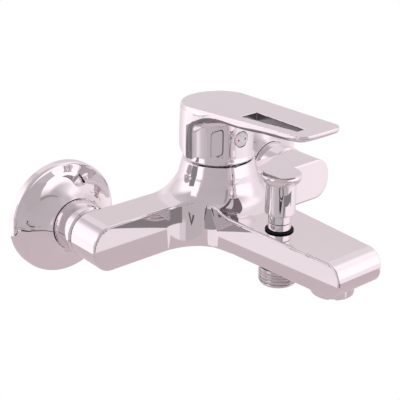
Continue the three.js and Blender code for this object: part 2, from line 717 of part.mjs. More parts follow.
// Square spindle with the ball that drives the disc, pinned in the turret.
function spindle() {
  const half = SPINDLE_SQUARE / 2;
  const neckTop = PIVOT_HEIGHT - 2 * half;
  const shaft = block(
    SPINDLE_SQUARE,
    SPINDLE_SQUARE,
    SPINDLE_TOP - neckTop,
    0,
    0,
    (SPINDLE_TOP + neckTop) / 2,
  );
  const neckRadius = SPINDLE_BALL_RADIUS - 0.7;
  const ball = [
    ...arc(0, ballHeight, SPINDLE_BALL_RADIUS, -90, 30, 6),
    point(neckRadius, ballHeight + SPINDLE_BALL_RADIUS),
    point(neckRadius, neckTop + 1),
    point(0, neckTop + 1),
  ];
  const pinHole = bar(
    [-SPINDLE_SQUARE, 0, PIVOT_HEIGHT],
    [SPINDLE_SQUARE, 0, PIVOT_HEIGHT],
    PIN_RADIUS + PIN_CLEARANCE,
    FACETS_SMALL,
  );
  return shaft.add(turned(ball, FACETS_SMALL)).subtract(pinHole);
}

// ---------------------------------------------------------------- lever, on the hub's axis
const leverTopAt = (forward) => LEVER_TOP + LEVER_RISE * forward;

// The lever seen from above, grown evenly by a margin.
function leverOutline(grow) {
  const taper = Math.atan((LEVER_ROOT_HALF_WIDTH - LEVER_TIP_HALF_WIDTH) / LEVER_REACH);
  const side = THREE.MathUtils.radToDeg(taper);
  const back = arc(0, LEVER_BACK_SHIFT, LEVER_BACK_RADIUS + grow, -side, 180 + side, 26);
  const cornerForward = LEVER_REACH - LEVER_FRONT_BOW - LEVER_CORNER;
  const halfWidth = LEVER_ROOT_HALF_WIDTH - cornerForward * Math.tan(taper);
  const cornerX = halfWidth - LEVER_CORNER / Math.cos(taper);
  const left = arc(-cornerX, -cornerForward, LEVER_CORNER + grow, 180 + side, 262, 6);
  const right = arc(cornerX, -cornerForward, LEVER_CORNER + grow, 278, 360 - side, 6);
  const front = bend(
    left[left.length - 1],
    point(0, -LEVER_REACH - LEVER_FRONT_BOW - grow),
    right[0],
    6,
  ).slice(1, -1);
  return [...back, ...left, ...front, ...right];
}

// The lever seen from the side: rear skirt, curl under the top, and the thin long edge.
function leverSideOutline(rimHeight) {
  const rearTop = -LEVER_BACK_RADIUS - LEVER_BACK_SHIFT - 4;
  const thinAt = 24;
  const thickAt = 52;
  const thin = point(thinAt, leverTopAt(thinAt) - LEVER_EDGE_THIN);
  const thick = point(thickAt, leverTopAt(thickAt) - LEVER_EDGE_THICK);
  const tip = point(LEVER_REACH + 4, leverTopAt(LEVER_REACH + 4) - LEVER_EDGE_FRONT);
  const curlStart = point(0, leverTopAt(0) - SKIRT_CURL);
  const curlEnd = point(SKIRT_CURL, leverTopAt(SKIRT_CURL) - LEVER_EDGE_THIN - 1);
  const curl = bend(curlStart, point(1.5, curlEnd.y - 1.5), curlEnd, 7);
  return [
    point(rearTop, leverTopAt(rearTop)),
    point(rearTop, rimHeight),
    point(0, rimHeight),
    ...curl,
    ...bend(curlEnd, point((SKIRT_CURL + thinAt) / 2, thin.y), thin, 3).slice(1),
    ...bend(thin, point((thinAt + thickAt) / 2, (thin.y + thick.y) / 2 - 0.3), thick, 3).slice(1),
    ...bend(thick, point((thickAt + tip.x) / 2, thick.y + 0.2), tip, 4).slice(1),
    point(tip.x, leverTopAt(tip.x)),
  ];
}

// Outer skin of top face and rear skirt; the skirt swells a little below the top.
function leverSkin(rimHeight) {
  const heights = [];
  const outlines = [];
  const top = leverTopAt(LEVER_REACH) + 2;
  const levels = 8;
  const swellTop = LEVER_TOP - 2;
  for (let i = 0; i <= levels; i++) {
    const t = i / levels;
    heights.push(THREE.MathUtils.lerp(rimHeight, swellTop, t));
    outlines.push(leverOutline(SKIRT_BULGE * Math.sin(Math.PI * Math.pow(t, 0.6))));
  }
  heights.push(top);
  outlines.push(leverOutline(0));
  return lofted(outlines, heights).intersect(
    drawnAcross(leverSideOutline(rimHeight), LEVER_ROOT_HALF_WIDTH * 2),
  );
}

// Round hub under the lever.
function leverHub(rimHeight) {
  const profile = [
    point(0, rimHeight),
    point(HUB_FOOT_RADIUS, rimHeight),
    ...bend(
      point(HUB_FOOT_RADIUS, rimHeight + 2.6),
      point(HUB_RADIUS, rimHeight + 4),
      point(HUB_RADIUS, rimHeight + 9),
      4,
    ),
    point(HUB_RADIUS, LEVER_TOP - LEVER_EDGE_THIN),
    point(0, LEVER_TOP - LEVER_EDGE_THIN),
  ];
  return turned(profile, FACETS_LARGE);
}

// Everything below the rim: level in front, and rising behind by the lift's angle.
function liftClearance(rimHeight) {
  const far = 40;
  const rise = far * Math.tan(degrees(LIFT_ANGLE));
  return drawnAcross(
    [
      point(-far, 0),
      point(far, 0),
      point(far, rimHeight + 0.02),
      point(0, rimHeight + 0.02),
      point(-far, rimHeight + rise),
    ],
    far,
  );
}

// Boss for the spindle, with the sleeve that holds the set screw and the plug.
function spindleBoss() {
  const boss = rod(BOSS_RADIUS, BOSS_BOTTOM, HUB_CEILING + 1, FACETS_MEDIUM);
  return boss.add(bar([0, 0, SCREW_HEIGHT], [0, -HUB_CAVITY - 1, SCREW_HEIGHT], SCREW_SLEEVE, FACETS_MEDIUM));
}

function fingerSlot() {
  const outline = [
    point(SLOT_REAR_X[0], -SLOT_REAR),
    point(SLOT_REAR_X[1], -SLOT_REAR),
    point(SLOT_FRONT_X[1], -SLOT_FRONT),
    point(SLOT_FRONT_X[0], -SLOT_FRONT),
  ];
  return raised(outline, LEVER_TOP - 3 * LEVER_EDGE_THICK, LEVER_TOP + 3 * LEVER_EDGE_THICK);
}

function leverHandle() {
  const rimHeight = TOWER_TOP + RIM_GAP;
  const squareHole = SPINDLE_SQUARE + 2 * CLEARANCE;
  const holeTop = SPINDLE_TOP + CLEARANCE;
  const holeBottom = SCREW_HEIGHT - SCREW_SLEEVE - 1;
  const spindleHole = block(
    squareHole,
    squareHole,
    holeTop - holeBottom,
    0,
    0,
    (holeTop + holeBottom) / 2,
  );
  const plugFront = -HUB_FOOT_RADIUS - 1;
  const plugBack = -HUB_RADIUS + PLUG_DEPTH + CLEARANCE;
  const plugHole = bar(
    [0, plugFront, SCREW_HEIGHT],
    [0, plugBack, SCREW_HEIGHT],
    PLUG_RADIUS + CLEARANCE,
    FACETS_MEDIUM,
  );
  const screwHole = bar(
    [0, plugFront, SCREW_HEIGHT],
    [0, 0, SCREW_HEIGHT],
    SCREW_RADIUS + CLEARANCE,
    FACETS_SMALL,
  );
  return leverSkin(rimHeight)
    .add(leverHub(rimHeight))
    .subtract(liftClearance(rimHeight))
    .subtract(rod(HUB_CAVITY, rimHeight - 1, HUB_CEILING, FACETS_LARGE))
    .add(spindleBoss())
    .subtract(spindleHole)
    .subtract(plugHole)
    .subtract(screwHole)
    .subtract(fingerSlot());
}

// Grub screw that clamps the lever on the spindle, with its hexagon socket.
function setScrew() {
  const inner = -SPINDLE_SQUARE / 2 - CLEARANCE;
  const outer = inner - SCREW_LENGTH;
  const body = bar([0, inner, SCREW_HEIGHT], [0, outer, SCREW_HEIGHT], SCREW_RADIUS, FACETS_SMALL);
  return body.subtract(bar([0, outer - 1, SCREW_HEIGHT], [0, outer + 2.5, SCREW_HEIGHT], 1.4, 6));
}

// Hot and cold indicator: a low domed disc on a push-in stem.
function indicatorPlug() {
  const back = -HUB_RADIUS + PLUG_DEPTH;
  const rim = -HUB_RADIUS + 0.4;
  const profile = [
    point(0, back + PLUG_STEM),
    point(PLUG_STEM_RADIUS, back + PLUG_STEM),
    point(PLUG_STEM_RADIUS, back),
    point(PLUG_RADIUS, back),
    point(PLUG_RADIUS, rim),
    ...bend(point(PLUG_RADIUS - 0.4, rim - 0.3), point(PLUG_RADIUS / 2, rim - 0.6), point(0, rim - 0.6), 3),
  ];
  return turnedAlongY(profile, FACETS_MEDIUM, SCREW_HEIGHT);
}

// ---------------------------------------------------------------- diverter, on its own axis
function diverterBush() {
  const flange = SPOUT_TOP + SEAL_RING_HEIGHT + 2 * CLEARANCE;
  const bore = DIVERTER_STEM_RADIUS + CLEARANCE;
  const profile = [
    point(bore, diverterChamberTop),
    point(BUSH_SHANK_RADIUS, diverterChamberTop),
    point(BUSH_SHANK_RADIUS, flange),
    point(BUSH_RADIUS, flange),
    point(BUSH_RADIUS, BUSH_TOP - 0.3),
    point(BUSH_RADIUS - 0.3, BUSH_TOP),
    point(bore, BUSH_TOP),
  ];
  return turned([...profile, profile[0]], FACETS_MEDIUM);
}

function sealRing() {
  const bottom = SPOUT_TOP + CLEARANCE;
  const inner = BUSH_SHANK_RADIUS + CLEARANCE;
  const middle = bottom + SEAL_RING_HEIGHT / 2;
  const half = SEAL_RING_HEIGHT / 2;
  const profile = [
    point(inner, bottom),
    ...arc(SEAL_RING_RADIUS - half, middle, half, -90, 90, 4),
    point(inner, bottom + SEAL_RING_HEIGHT),
  ];
  return turned([...profile, profile[0]], FACETS_MEDIUM);
}

// Mushroom pull knob: cap, waist, rounded shoulder and slim neck.
function diverterKnob() {
  const bottom = BUSH_TOP + CLEARANCE;
  const round = 1.8;
  const rimHeight = KNOB_TOP - 1.6;
  const profile = [
    point(0, bottom),
    point(KNOB_NECK_RADIUS - 0.3, bottom),
    point(KNOB_NECK_RADIUS, bottom + 0.3),
    point(KNOB_NECK_RADIUS, KNOB_SHOULDER),
    ...arc(KNOB_RADIUS - round, KNOB_SHOULDER + round, round, -75, 0, 4),
    ...bend(
      point(KNOB_RADIUS, KNOB_CAP_BOTTOM),
      point(KNOB_CAP_RADIUS - 0.3, KNOB_CAP_BOTTOM + 0.6),
      point(KNOB_CAP_RADIUS, rimHeight),
      4,
    ),
    ...bend(
      point(KNOB_CAP_RADIUS - 0.1, rimHeight + 0.6),
      point(KNOB_CAP_RADIUS - 0.4, KNOB_TOP),
      point(KNOB_CAP_RADIUS - 1.7, KNOB_TOP),
      3,
    ),
    point(0, KNOB_TOP),
  ];
  const stemHole = rod(
    DIVERTER_STEM_RADIUS + CLEARANCE,
    bottom - 1,
    DIVERTER_STEM_TOP + CLEARANCE,
    FACETS_SMALL,
  );
  return turned(profile, FACETS_KNOB).subtract(stemHole);
}

function diverterStem() {
  const bottom = valveTop + CLEARANCE;
  const pegBottom = sealBottom;
  const pegRadius = DIVERTER_STEM_RADIUS - 0.8;
  const profile = [
    point(0, pegBottom),
    point(pegRadius, pegBottom),
    point(pegRadius, bottom),
    point(DIVERTER_STEM_RADIUS, bottom),
    point(DIVERTER_STEM_RADIUS, DIVERTER_STEM_TOP),
    point(0, DIVERTER_STEM_TOP),
  ];
  return turned(profile, FACETS_SMALL);
}

const pegHole = DIVERTER_STEM_RADIUS - 0.8 + CLEARANCE;

function valveSeal() {
  return ring(pegHole, VALVE_RADIUS, sealBottom, sealBottom + VALVE_SEAL_HEIGHT - CLEARANCE, FACETS_MEDIUM);
}

function valveDisc() {
  return ring(pegHole, VALVE_RADIUS, sealBottom + VALVE_SEAL_HEIGHT, valveTop, FACETS_MEDIUM);
}

function upperSeat() {
  const outer = DIVERTER_CHAMBER_RADIUS - CLEARANCE;
  const top = UPPER_SEAT_BOTTOM + UPPER_SEAT_HEIGHT - CLEARANCE;
  return ring(UPPER_SEAT_BORE, outer, UPPER_SEAT_BOTTOM, top, FACETS_MEDIUM);
}

// Return spring between the valve disc and the bush.
class Coil extends THREE.Curve {
  constructor(radius, bottom, top, turns) {
    super();
    Object.assign(this, { radius, bottom, top, turns });
  }

  getPoint(t, target = new THREE.Vector3()) {
    const angle = 2 * Math.PI * this.turns * t;
    const height = THREE.MathUtils.lerp(this.bottom, this.top, t);
    return target.set(this.radius * Math.cos(angle), this.radius * Math.sin(angle), height);
  }
}

function returnSpring() {
  const bottom = valveTop + CLEARANCE + SPRING_WIRE;
  const top = diverterChamberTop - CLEARANCE - SPRING_WIRE;
  const wire = new THREE.Shape(arc(0, 0, SPRING_WIRE, 0, 270, 3));
  return solid(
    new THREE.ExtrudeGeometry(wire, {
      steps: SPRING_TURNS * 10,
      extrudePath: new Coil(SPRING_RADIUS, bottom, top, SPRING_TURNS),
      bevelEnabled: false,
    }),
  );
}

// Shower outlet with its G1/2 end for the hose; its top face is the lower valve seat.
function showerNipple() {
  const shank = DIVERTER_CHAMBER_RADIUS - CLEARANCE;
  const profile = [
    point(OUTLET_BORE, -OUTLET_END),
    point(OUTLET_THREAD_RADIUS - 1.1, -OUTLET_END),
    point(OUTLET_THREAD_RADIUS, -OUTLET_END + 1.1),
    point(OUTLET_THREAD_RADIUS, -OUTLET_SHOULDER),
    point(shank, -OUTLET_SHOULDER),
    point(shank, -OUTLET_FACE),
    point(OUTLET_BORE, -OUTLET_FACE),
  ];
  return turned([...profile, profile[0]], FACETS_KNOB);
}

// ---------------------------------------------------------------- aerator, on its own axis
function aeratorShell() {
  const bore = AERATOR_THREAD_RADIUS - AERATOR_WALL;
  const shoulder = -SPOUT_UNDERSIDE - CLEARANCE - 0.5;
  const profile = [
    point(bore - AERATOR_LIP, -AERATOR_BOTTOM),
    point(AERATOR_RADIUS - 0.8, -AERATOR_BOTTOM),
    point(AERATOR_RADIUS, -AERATOR_BOTTOM + 0.8),
    point(AERATOR_RADIUS, shoulder),
    point(AERATOR_THREAD_RADIUS, shoulder),
    point(AERATOR_THREAD_RADIUS, -AERATOR_SHANK_TOP),
    point(bore, -AERATOR_SHANK_TOP),
    point(bore, -AERATOR_BOTTOM + 1.2),
    point(bore - AERATOR_LIP, -AERATOR_BOTTOM + 1.2),
  ];
  let shell = turned([...profile, profile[0]], FACETS_KNOB);
  for (const turn of [NOTCH_TURN, NOTCH_TURN + 180]) {
    const notch = new THREE.BoxGeometry(NOTCH_WIDTH, 2.4, 2 * NOTCH_HEIGHT);
    notch.translate(0, -AERATOR_RADIUS, -AERATOR_BOTTOM).rotateZ(degrees(turn));
    shell = shell.subtract(solid(notch));
  }
  return shell;
}

// Flow straightener: a ribbed plastic cartridge that fills the shell.
function aeratorInsert() {
  const radius = AERATOR_THREAD_RADIUS - AERATOR_WALL - CLEARANCE;
  const bottom = -AERATOR_BOTTOM + 1.2 + CLEARANCE;
  let insert = rod(radius, bottom, -AERATOR_SHANK_TOP, FACETS_MEDIUM);
  for (const offset of [-4.5, -1.5, 1.5, 4.5]) {
    insert = insert.subtract(block(1.4, 1.5 * radius, 2, offset, 0, bottom));
  }
  return insert;
}

function aeratorGasket() {
  const bottom = -AERATOR_SHANK_TOP + CLEARANCE;
  const top = -AERATOR_SEAT - CLEARANCE;
  return ring(AERATOR_CHAMBER_RADIUS, AERATOR_THREAD_RADIUS - 0.4, bottom, top, FACETS_MEDIUM);
}

// ---------------------------------------------------------------- assembly
function wallConnection(side, label) {
  const group = new THREE.Group();
  group.position.x = side * inletX;
  group.add(
    piece("wall_flange_" + label, wallFlange(), chrome),
    piece("union_nut_" + label, unionNut(), chrome),
    piece("inlet_filter_washer_" + label, filterWasher(), rubber),
    piece("s_union_" + label, sUnion(), brass),
  );
  return group;
}

function hubGroup() {
  const group = new THREE.Group();
  group.position.set(...hubPlace, 0);
  group.add(
    piece("cartridge_base_seal", baseSeal(), rubber),
    piece("cartridge_base", cartridgeBase(), plastic),
    piece("fixed_ceramic_disc", fixedDisc(), ceramic),
    piece("cartridge_housing", cartridgeHousing(), plastic),
    piece("cartridge_nut", cartridgeNut(), brass),
    piece("trim_dome", trimDome(), chrome),
    piece("cartridge_turret", turret(), plastic),
    piece("pivot_pin", pivotPin(), steel),
    piece("moving_ceramic_disc", movingDisc(), ceramic),
    piece("disc_carrier", discCarrier(), plastic),
    piece("spindle", spindle(), brass),
    piece("lever_handle", leverHandle(), chrome),
    piece("lever_set_screw", setScrew(), steel),
    piece("indicator_plug", indicatorPlug(), plugWhite),
  );
  return group;
}

function diverterGroup() {
  const group = new THREE.Group();
  group.position.set(...diverterPlace, 0);
  group.add(
    piece("shower_outlet_nipple", showerNipple(), chrome),
    piece("diverter_upper_seat", upperSeat(), brass),
    piece("diverter_bush", diverterBush(), chrome),
    piece("diverter_seal_ring", sealRing(), rubber),
    piece("diverter_knob", diverterKnob(), chrome),
    piece("diverter_stem", diverterStem(), brass),
    piece("diverter_valve_disc", valveDisc(), brass),
    piece("diverter_valve_seal", valveSeal(), rubber),
    piece("diverter_spring", returnSpring(), steel),
  );
  return group;
}

function aeratorGroup() {
  const group = new THREE.Group();
  group.position.set(...aeratorPlace, 0);
  group.add(
    piece("aerator_shell", aeratorShell(), chrome),
    piece("aerator_insert", aeratorInsert(), plastic),
    piece("aerator_gasket", aeratorGasket(), rubber),
  );
  return group;
}

const mixer = new THREE.Group();
mixer.add(
  piece("body_casting", bodyCasting(), chrome),
  wallConnection(-1, "left"),
  wallConnection(1, "right"),
  hubGroup(),
  diverterGroup(),
  aeratorGroup(),
);

export default mixer;
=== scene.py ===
"""Fine meshes, finishes and studio of a wall mounted single-lever bath and shower mixer.

Sizes are in millimetres until a mesh is made, because Blender's unit is the metre. The frame
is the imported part's own: +Z is up, +Y runs into the wall and the wall's face is y = 0.
"""

import logging
import math
from collections.abc import Callable, Sequence
from dataclasses import dataclass, field
from enum import Enum

import bpy
import numpy as np
from mathutils import Matrix, Vector

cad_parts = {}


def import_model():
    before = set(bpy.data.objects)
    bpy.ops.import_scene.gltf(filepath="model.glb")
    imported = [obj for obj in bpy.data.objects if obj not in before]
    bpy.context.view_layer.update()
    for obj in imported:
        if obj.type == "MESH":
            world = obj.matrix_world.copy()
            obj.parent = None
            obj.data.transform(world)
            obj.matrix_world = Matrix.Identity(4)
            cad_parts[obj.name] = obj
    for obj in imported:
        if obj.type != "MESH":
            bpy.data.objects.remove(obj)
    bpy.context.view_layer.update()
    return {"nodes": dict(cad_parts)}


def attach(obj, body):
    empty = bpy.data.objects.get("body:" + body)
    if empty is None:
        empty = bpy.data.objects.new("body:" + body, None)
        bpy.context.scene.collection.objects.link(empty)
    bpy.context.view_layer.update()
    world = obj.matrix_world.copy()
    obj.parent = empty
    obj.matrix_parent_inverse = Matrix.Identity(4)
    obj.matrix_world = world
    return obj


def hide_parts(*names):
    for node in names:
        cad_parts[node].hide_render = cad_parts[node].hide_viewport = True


MM = 0.001

# Places that several pieces share.
INLET = 75.0
HUB = 52.3
LEVER_TOP = 66.5
LEVER_RISE = 0.049
DIVERTER = (-7.1, -111.2, 0.0)
AERATOR = (0.0, -145.0, 0.0)

# Edges that turn further than this, in degrees, are shown sharp: on a piece without normals of
# its own and on a repeated pattern.
SHARP_ANGLE = 35
PATTERN_ANGLE = 40

# Drawing a net on to its surface: the number of moves, the longest as a share of a cell, the
# reach in mm of the slope for the moves and for the normals, and the least squared slope that
# counts.
MOVES = 4
LONGEST_MOVE = 0.4
MOVE_REACH = 0.05
NORMAL_REACH = 0.25
FLATTEST = 0.2

# Rounding a section: corners closer than DOUBLE are one, nearer the axis than TINY lie on it,
# and a rounded corner takes up to EDGE_SHARE of an edge in steps of ROUNDING_STEP degrees.
DOUBLE = 1e-4
TINY = 1e-6
EDGE_SHARE = 0.45
ROUNDING_STEP = 18

# Surface effects: how much finer marks and grain are than the haze, how many octaves each has,
# how wavy the marks are, and the height of all relief in mm.
TURNING_SCALE = 30
MOULDING_SCALE = 25
HAZE_DETAIL = 3
GRAIN_DETAIL = 5
MARK_WAVER = 0.6
RELIEF_HEIGHT = 0.1

# A thread's ridge: steps to one turn of its spiral, and sides of its rope.
SPIRAL_STEPS = 96
ROPE_SIDES = 8

Array = np.ndarray
Shape = Callable[[Array, Array, Array], Array]
Outline = Sequence[tuple[float, float]]
Place = tuple[float, float, float]
Colour = tuple[float, float, float]
Socket = bpy.types.NodeSocket
Value = Socket | float | bool | tuple[float, ...]

log = logging.getLogger("mixer")


# ------------------------------------------------------------------ outlines


def arc(
    centre: tuple[float, float], radius: float, start: float, end: float, steps: int
) -> list[tuple[float, float]]:
    """Points of a round stretch.

    Args:
        centre: The arc's centre.
        radius: Its radius.
        start: First angle, in degrees.
        end: Last angle, in degrees.
        steps: Number of chords.

    Returns:
        The points, both ends included.
    """
    angles = np.radians(np.linspace(start, end, steps + 1))
    return [(centre[0] + radius * math.cos(a), centre[1] + radius * math.sin(a)) for a in angles]


def bend(
    start: tuple[float, float],
    corner: tuple[float, float],
    end: tuple[float, float],
    steps: int,
) -> list[tuple[float, float]]:
    """Points of a smooth bend that leaves its start towards a corner.

    Args:
        start: First point.
        corner: The point that both ends head for.
        end: Last point.
        steps: Number of chords.

    Returns:
        The points, both ends included.
    """
    t = np.linspace(0, 1, steps + 1)[:, None]
    a, b, c = (np.array(p, float) for p in (start, corner, end))
    curve = (1 - t) ** 2 * a + 2 * t * (1 - t) * b + t**2 * c
    return [tuple(p) for p in curve.tolist()]


# ------------------------------------------------------------------ distance fields


def within(a: Array, b: Array, edge: float) -> Array:
    """The overlap of two shapes, with its edge rounded to a radius."""
    deep = np.minimum(np.maximum(a, b), -edge)
    return deep + np.hypot(np.maximum(a + edge, 0), np.maximum(b + edge, 0))


def joined(a: Array, b: Array, fillet: float) -> Array:
    """Two shapes as one, with a fillet of a radius where they meet."""
    far = np.maximum(np.minimum(a, b), fillet)
    return far - np.hypot(np.maximum(fillet - a, 0), np.maximum(fillet - b, 0))


def cut(a: Array, b: Array, edge: float = 0.3) -> Array:
    """Shape a without shape b, with the rim rounded to a radius."""
    return within(a, -b, edge)


@dataclass(frozen=True)
class Rod:
    """A round bar or bore along one axis."""

    radius: float
    start: float
    end: float

    def field(self, along: Array, u: Array, v: Array) -> Array:
        """Distance to it, with u and v measured from its centre line."""
        ends = np.maximum(self.start - along, along - self.end)
        return np.maximum(np.hypot(u, v) - self.radius, ends)


def beside(u: Array, v: Array, outline: Outline) -> Array:
    """Distance to a closed flat outline, negative inside it.

    Args:
        u: First coordinate of the places.
        v: Second coordinate of the places.
        outline: Corners of the outline, in order.

    Returns:
        The signed distance at each place.
    """
    nearest = np.full(np.broadcast(u, v).shape, np.inf)
    inside = np.zeros(nearest.shape, bool)
    previous = outline[-1]
    for here in outline:
        eu, ev = previous[0] - here[0], previous[1] - here[1]
        du, dv = u - here[0], v - here[1]
        t = np.clip((du * eu + dv * ev) / (eu * eu + ev * ev), 0, 1)
        nearest = np.minimum(nearest, (du - eu * t) ** 2 + (dv - ev * t) ** 2)
        if ev:
            passes = (v >= here[1]) != (v >= previous[1])
            inside ^= passes & (du < dv * eu / ev)
        previous = here
    return np.where(inside, -1.0, 1.0) * np.sqrt(nearest)


# ------------------------------------------------------------------ meshes


@dataclass
class Skin:
    """The surface of a piece: points in millimetres, faces and one normal a point."""

    points: Array
    faces: list[tuple[int, ...]]
    normals: Array | None = None

    def placed(self, offset: Place) -> "Skin":
        """The same surface, moved by an offset."""
        return Skin(self.points + np.array(offset), self.faces, self.normals)

    def laid(self) -> "Skin":
        """The same surface with its upright axis laid along +Y.

        Returns:
            The laid surface.
        """
        turn = np.array([[1, 0, 0], [0, 0, 1], [0, -1, 0]], float)
        normals = None if self.normals is None else self.normals @ turn.T
        return Skin(self.points @ turn.T, self.faces, normals)

    def piece(self, name: str, finish: "Finish", body: str, *nodes: str) -> None:
        """Makes a finished piece of this surface, at the origin.

        Args:
            name: The piece's name.
            finish: Its finish.
            body: The body it rides on.
            *nodes: CAD nodes that it replaces.
        """
        mesh = bpy.data.meshes.new(name)
        mesh.from_pydata((self.points * MM).tolist(), [], self.faces)
        mesh.validate()
        mesh.shade_smooth()
        if self.normals is None:
            mesh.set_sharp_from_angle(angle=math.radians(SHARP_ANGLE))
        else:
            mesh.normals_split_custom_set_from_vertices(self.normals.tolist())
        mesh.materials.append(finish.material())
        settled(shown(name, mesh), body, finish.slot, *nodes)


def shown(name: str, data: bpy.types.ID) -> bpy.types.Object:
    """A new object, linked to the scene.

    Args:
        name: Its name.
        data: Its mesh or camera.

    Returns:
        The object, at the origin.
    """
    made = bpy.data.objects.new(name, data)
    bpy.context.scene.collection.objects.link(made)
    return made


def settled(piece: bpy.types.Object, body: str, slot: str, *nodes: str) -> None:
    """Puts a finished piece on its body and lets it stand for CAD nodes.

    Args:
        piece: The piece, in place.
        body: The body it rides on.
        slot: The material slot its finish belongs to; not used.
        *nodes: CAD nodes that it replaces.
    """
    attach(piece, body)
    if nodes:
        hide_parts(*nodes)
    log.info("%s rides on %s, %d faces", piece.name, body, len(piece.data.polygons))


def slope(shape: Shape, points: Array, step: float) -> Array:
    """The direction in which a shape's distance grows, at each point.

    Args:
        shape: The distance field.
        points: Places, one a row.
        step: Reach of the difference either way.

    Returns:
        One gradient a row.
    """
    columns = []
    for axis in range(3):
        shift = np.zeros(3)
        shift[axis] = step
        ahead, behind = shape(*(points + shift).T), shape(*(points - shift).T)
        columns.append((ahead - behind) / (2 * step))
    return np.stack(columns, axis=1)


def skinned(shape: Shape, low: Sequence[float], high: Sequence[float], cell: float) -> Skin:
    """A fine mesh of a distance field, made by surface nets and drawn on to the true surface.

    Args:
        shape: The distance field, negative inside.
        low: Lowest corner of the space that holds it.
        high: Highest corner.
        cell: Size of the net's cells.

    Returns:
        The closed surface with its true normals.
    """
    lines = [np.arange(lo - 1.5 * cell, hi + 2.5 * cell, cell) for lo, hi in zip(low, high)]
    grid = np.broadcast_to(
        shape(lines[0][:, None, None], lines[1][None, :, None], lines[2][None, None, :]),
        tuple(len(line) for line in lines),
    )
    cells = np.array(grid.shape) - 1
    inside = grid < 0
    total = np.zeros((int(cells.prod()), 3))
    hits = np.zeros(int(cells.prod()))
    rings: list[Array] = []
    for axis in range(3):
        ahead = [slice(None)] * 3
        behind = [slice(None)] * 3
        ahead[axis], behind[axis] = slice(1, None), slice(None, -1)
        crossing = np.argwhere(inside[tuple(ahead)] != inside[tuple(behind)])
        start = grid[tuple(crossing.T)]
        after = crossing.copy()
        after[:, axis] += 1
        share = start / (start - grid[tuple(after.T)])
        place = crossing.astype(float)
        place[:, axis] += share
        second, third = (axis + 1) % 3, (axis + 2) % 3
        ring = []
        for back in ((0, 0), (1, 0), (1, 1), (0, 1)):
            around = crossing.copy()
            around[:, second] -= back[0]
            around[:, third] -= back[1]
            ring.append(np.ravel_multi_index(tuple(around.T), tuple(cells)))
        for index in ring:
            hits += np.bincount(index, minlength=len(hits))
            for k in range(3):
                total[:, k] += np.bincount(index, weights=place[:, k], minlength=len(hits))
        quads = np.stack(ring, axis=1)
        quads[start >= 0] = quads[start >= 0][:, ::-1]
        rings.append(quads)
    active = np.flatnonzero(hits)
    number = np.full(len(hits), -1)
    number[active] = np.arange(len(active))
    origin = np.array([line[0] for line in lines])
    points = origin + cell * total[active] / hits[active][:, None]
    reach = LONGEST_MOVE * cell
    for _ in range(MOVES):
        gradient = slope(shape, points, MOVE_REACH)
        steepness = np.maximum((gradient**2).sum(1), FLATTEST)
        move = (shape(*points.T) / steepness)[:, None] * gradient
        points = points - np.clip(move, -reach, reach)
    normals = slope(shape, points, NORMAL_REACH)
    normals /= np.maximum(np.linalg.norm(normals, axis=1), TINY)[:, None]
    faces = number[np.concatenate(rings)]
    return Skin(points, [tuple(f) for f in faces.tolist()], normals)


def softened(outline: Outline, radius: float, sharp: float = 22) -> tuple[Array, Array]:
    """Rounds the corners of a closed outline and gives each point its outward normal.

    Args:
        outline: Corners, in order.
        radius: Radius of a rounded corner, where its edges are long enough.
        sharp: Turn in degrees below which a corner is part of a curve and stays.

    Returns:
        The points and their normals, one a row.
    """
    corners = np.array(outline, float)
    keep = np.linalg.norm(corners - np.roll(corners, 1, axis=0), axis=1) > DOUBLE
    corners = corners[keep]
    u, v = corners[:, 0], corners[:, 1]
    area = (u * np.roll(v, -1) - np.roll(u, -1) * v).sum()
    if area < 0:
        corners = corners[::-1]
    points, normals = [], []
    for i, here in enumerate(corners):
        before, after = corners[i - 1], corners[(i + 1) % len(corners)]
        into, out = here - before, after - here
        reach_in, reach_out = np.linalg.norm(into), np.linalg.norm(out)
        into, out = into / reach_in, out / reach_out
        turn = math.atan2(into[0] * out[1] - into[1] * out[0], float(into @ out))
        if abs(turn) < math.radians(sharp) or here[0] < TINY:
            middle = into + out
            if here[0] < TINY:
                middle = into if before[0] > TINY else out
            middle = middle / np.linalg.norm(middle)
            points.append(here)
            normals.append((middle[1], -middle[0]))
            continue
        half = math.tan(abs(turn) / 2)
        size = min(radius, EDGE_SHARE * min(reach_in, reach_out) / half)
        steps = max(2, math.ceil(abs(turn) / math.radians(ROUNDING_STEP)))
        start = here - into * size * half
        side = math.copysign(1, turn)
        centre = start + side * size * np.array([-into[1], into[0]])
        for k in range(steps + 1):
            angle = turn * k / steps
            c, s = math.cos(angle), math.sin(angle)
            heading = np.array([into[0] * c - into[1] * s, into[0] * s + into[1] * c])
            normal = np.array([heading[1], -heading[0]])
            points.append(centre + side * size * normal)
            normals.append(tuple(normal))
    return np.array(points), np.array(normals, float)


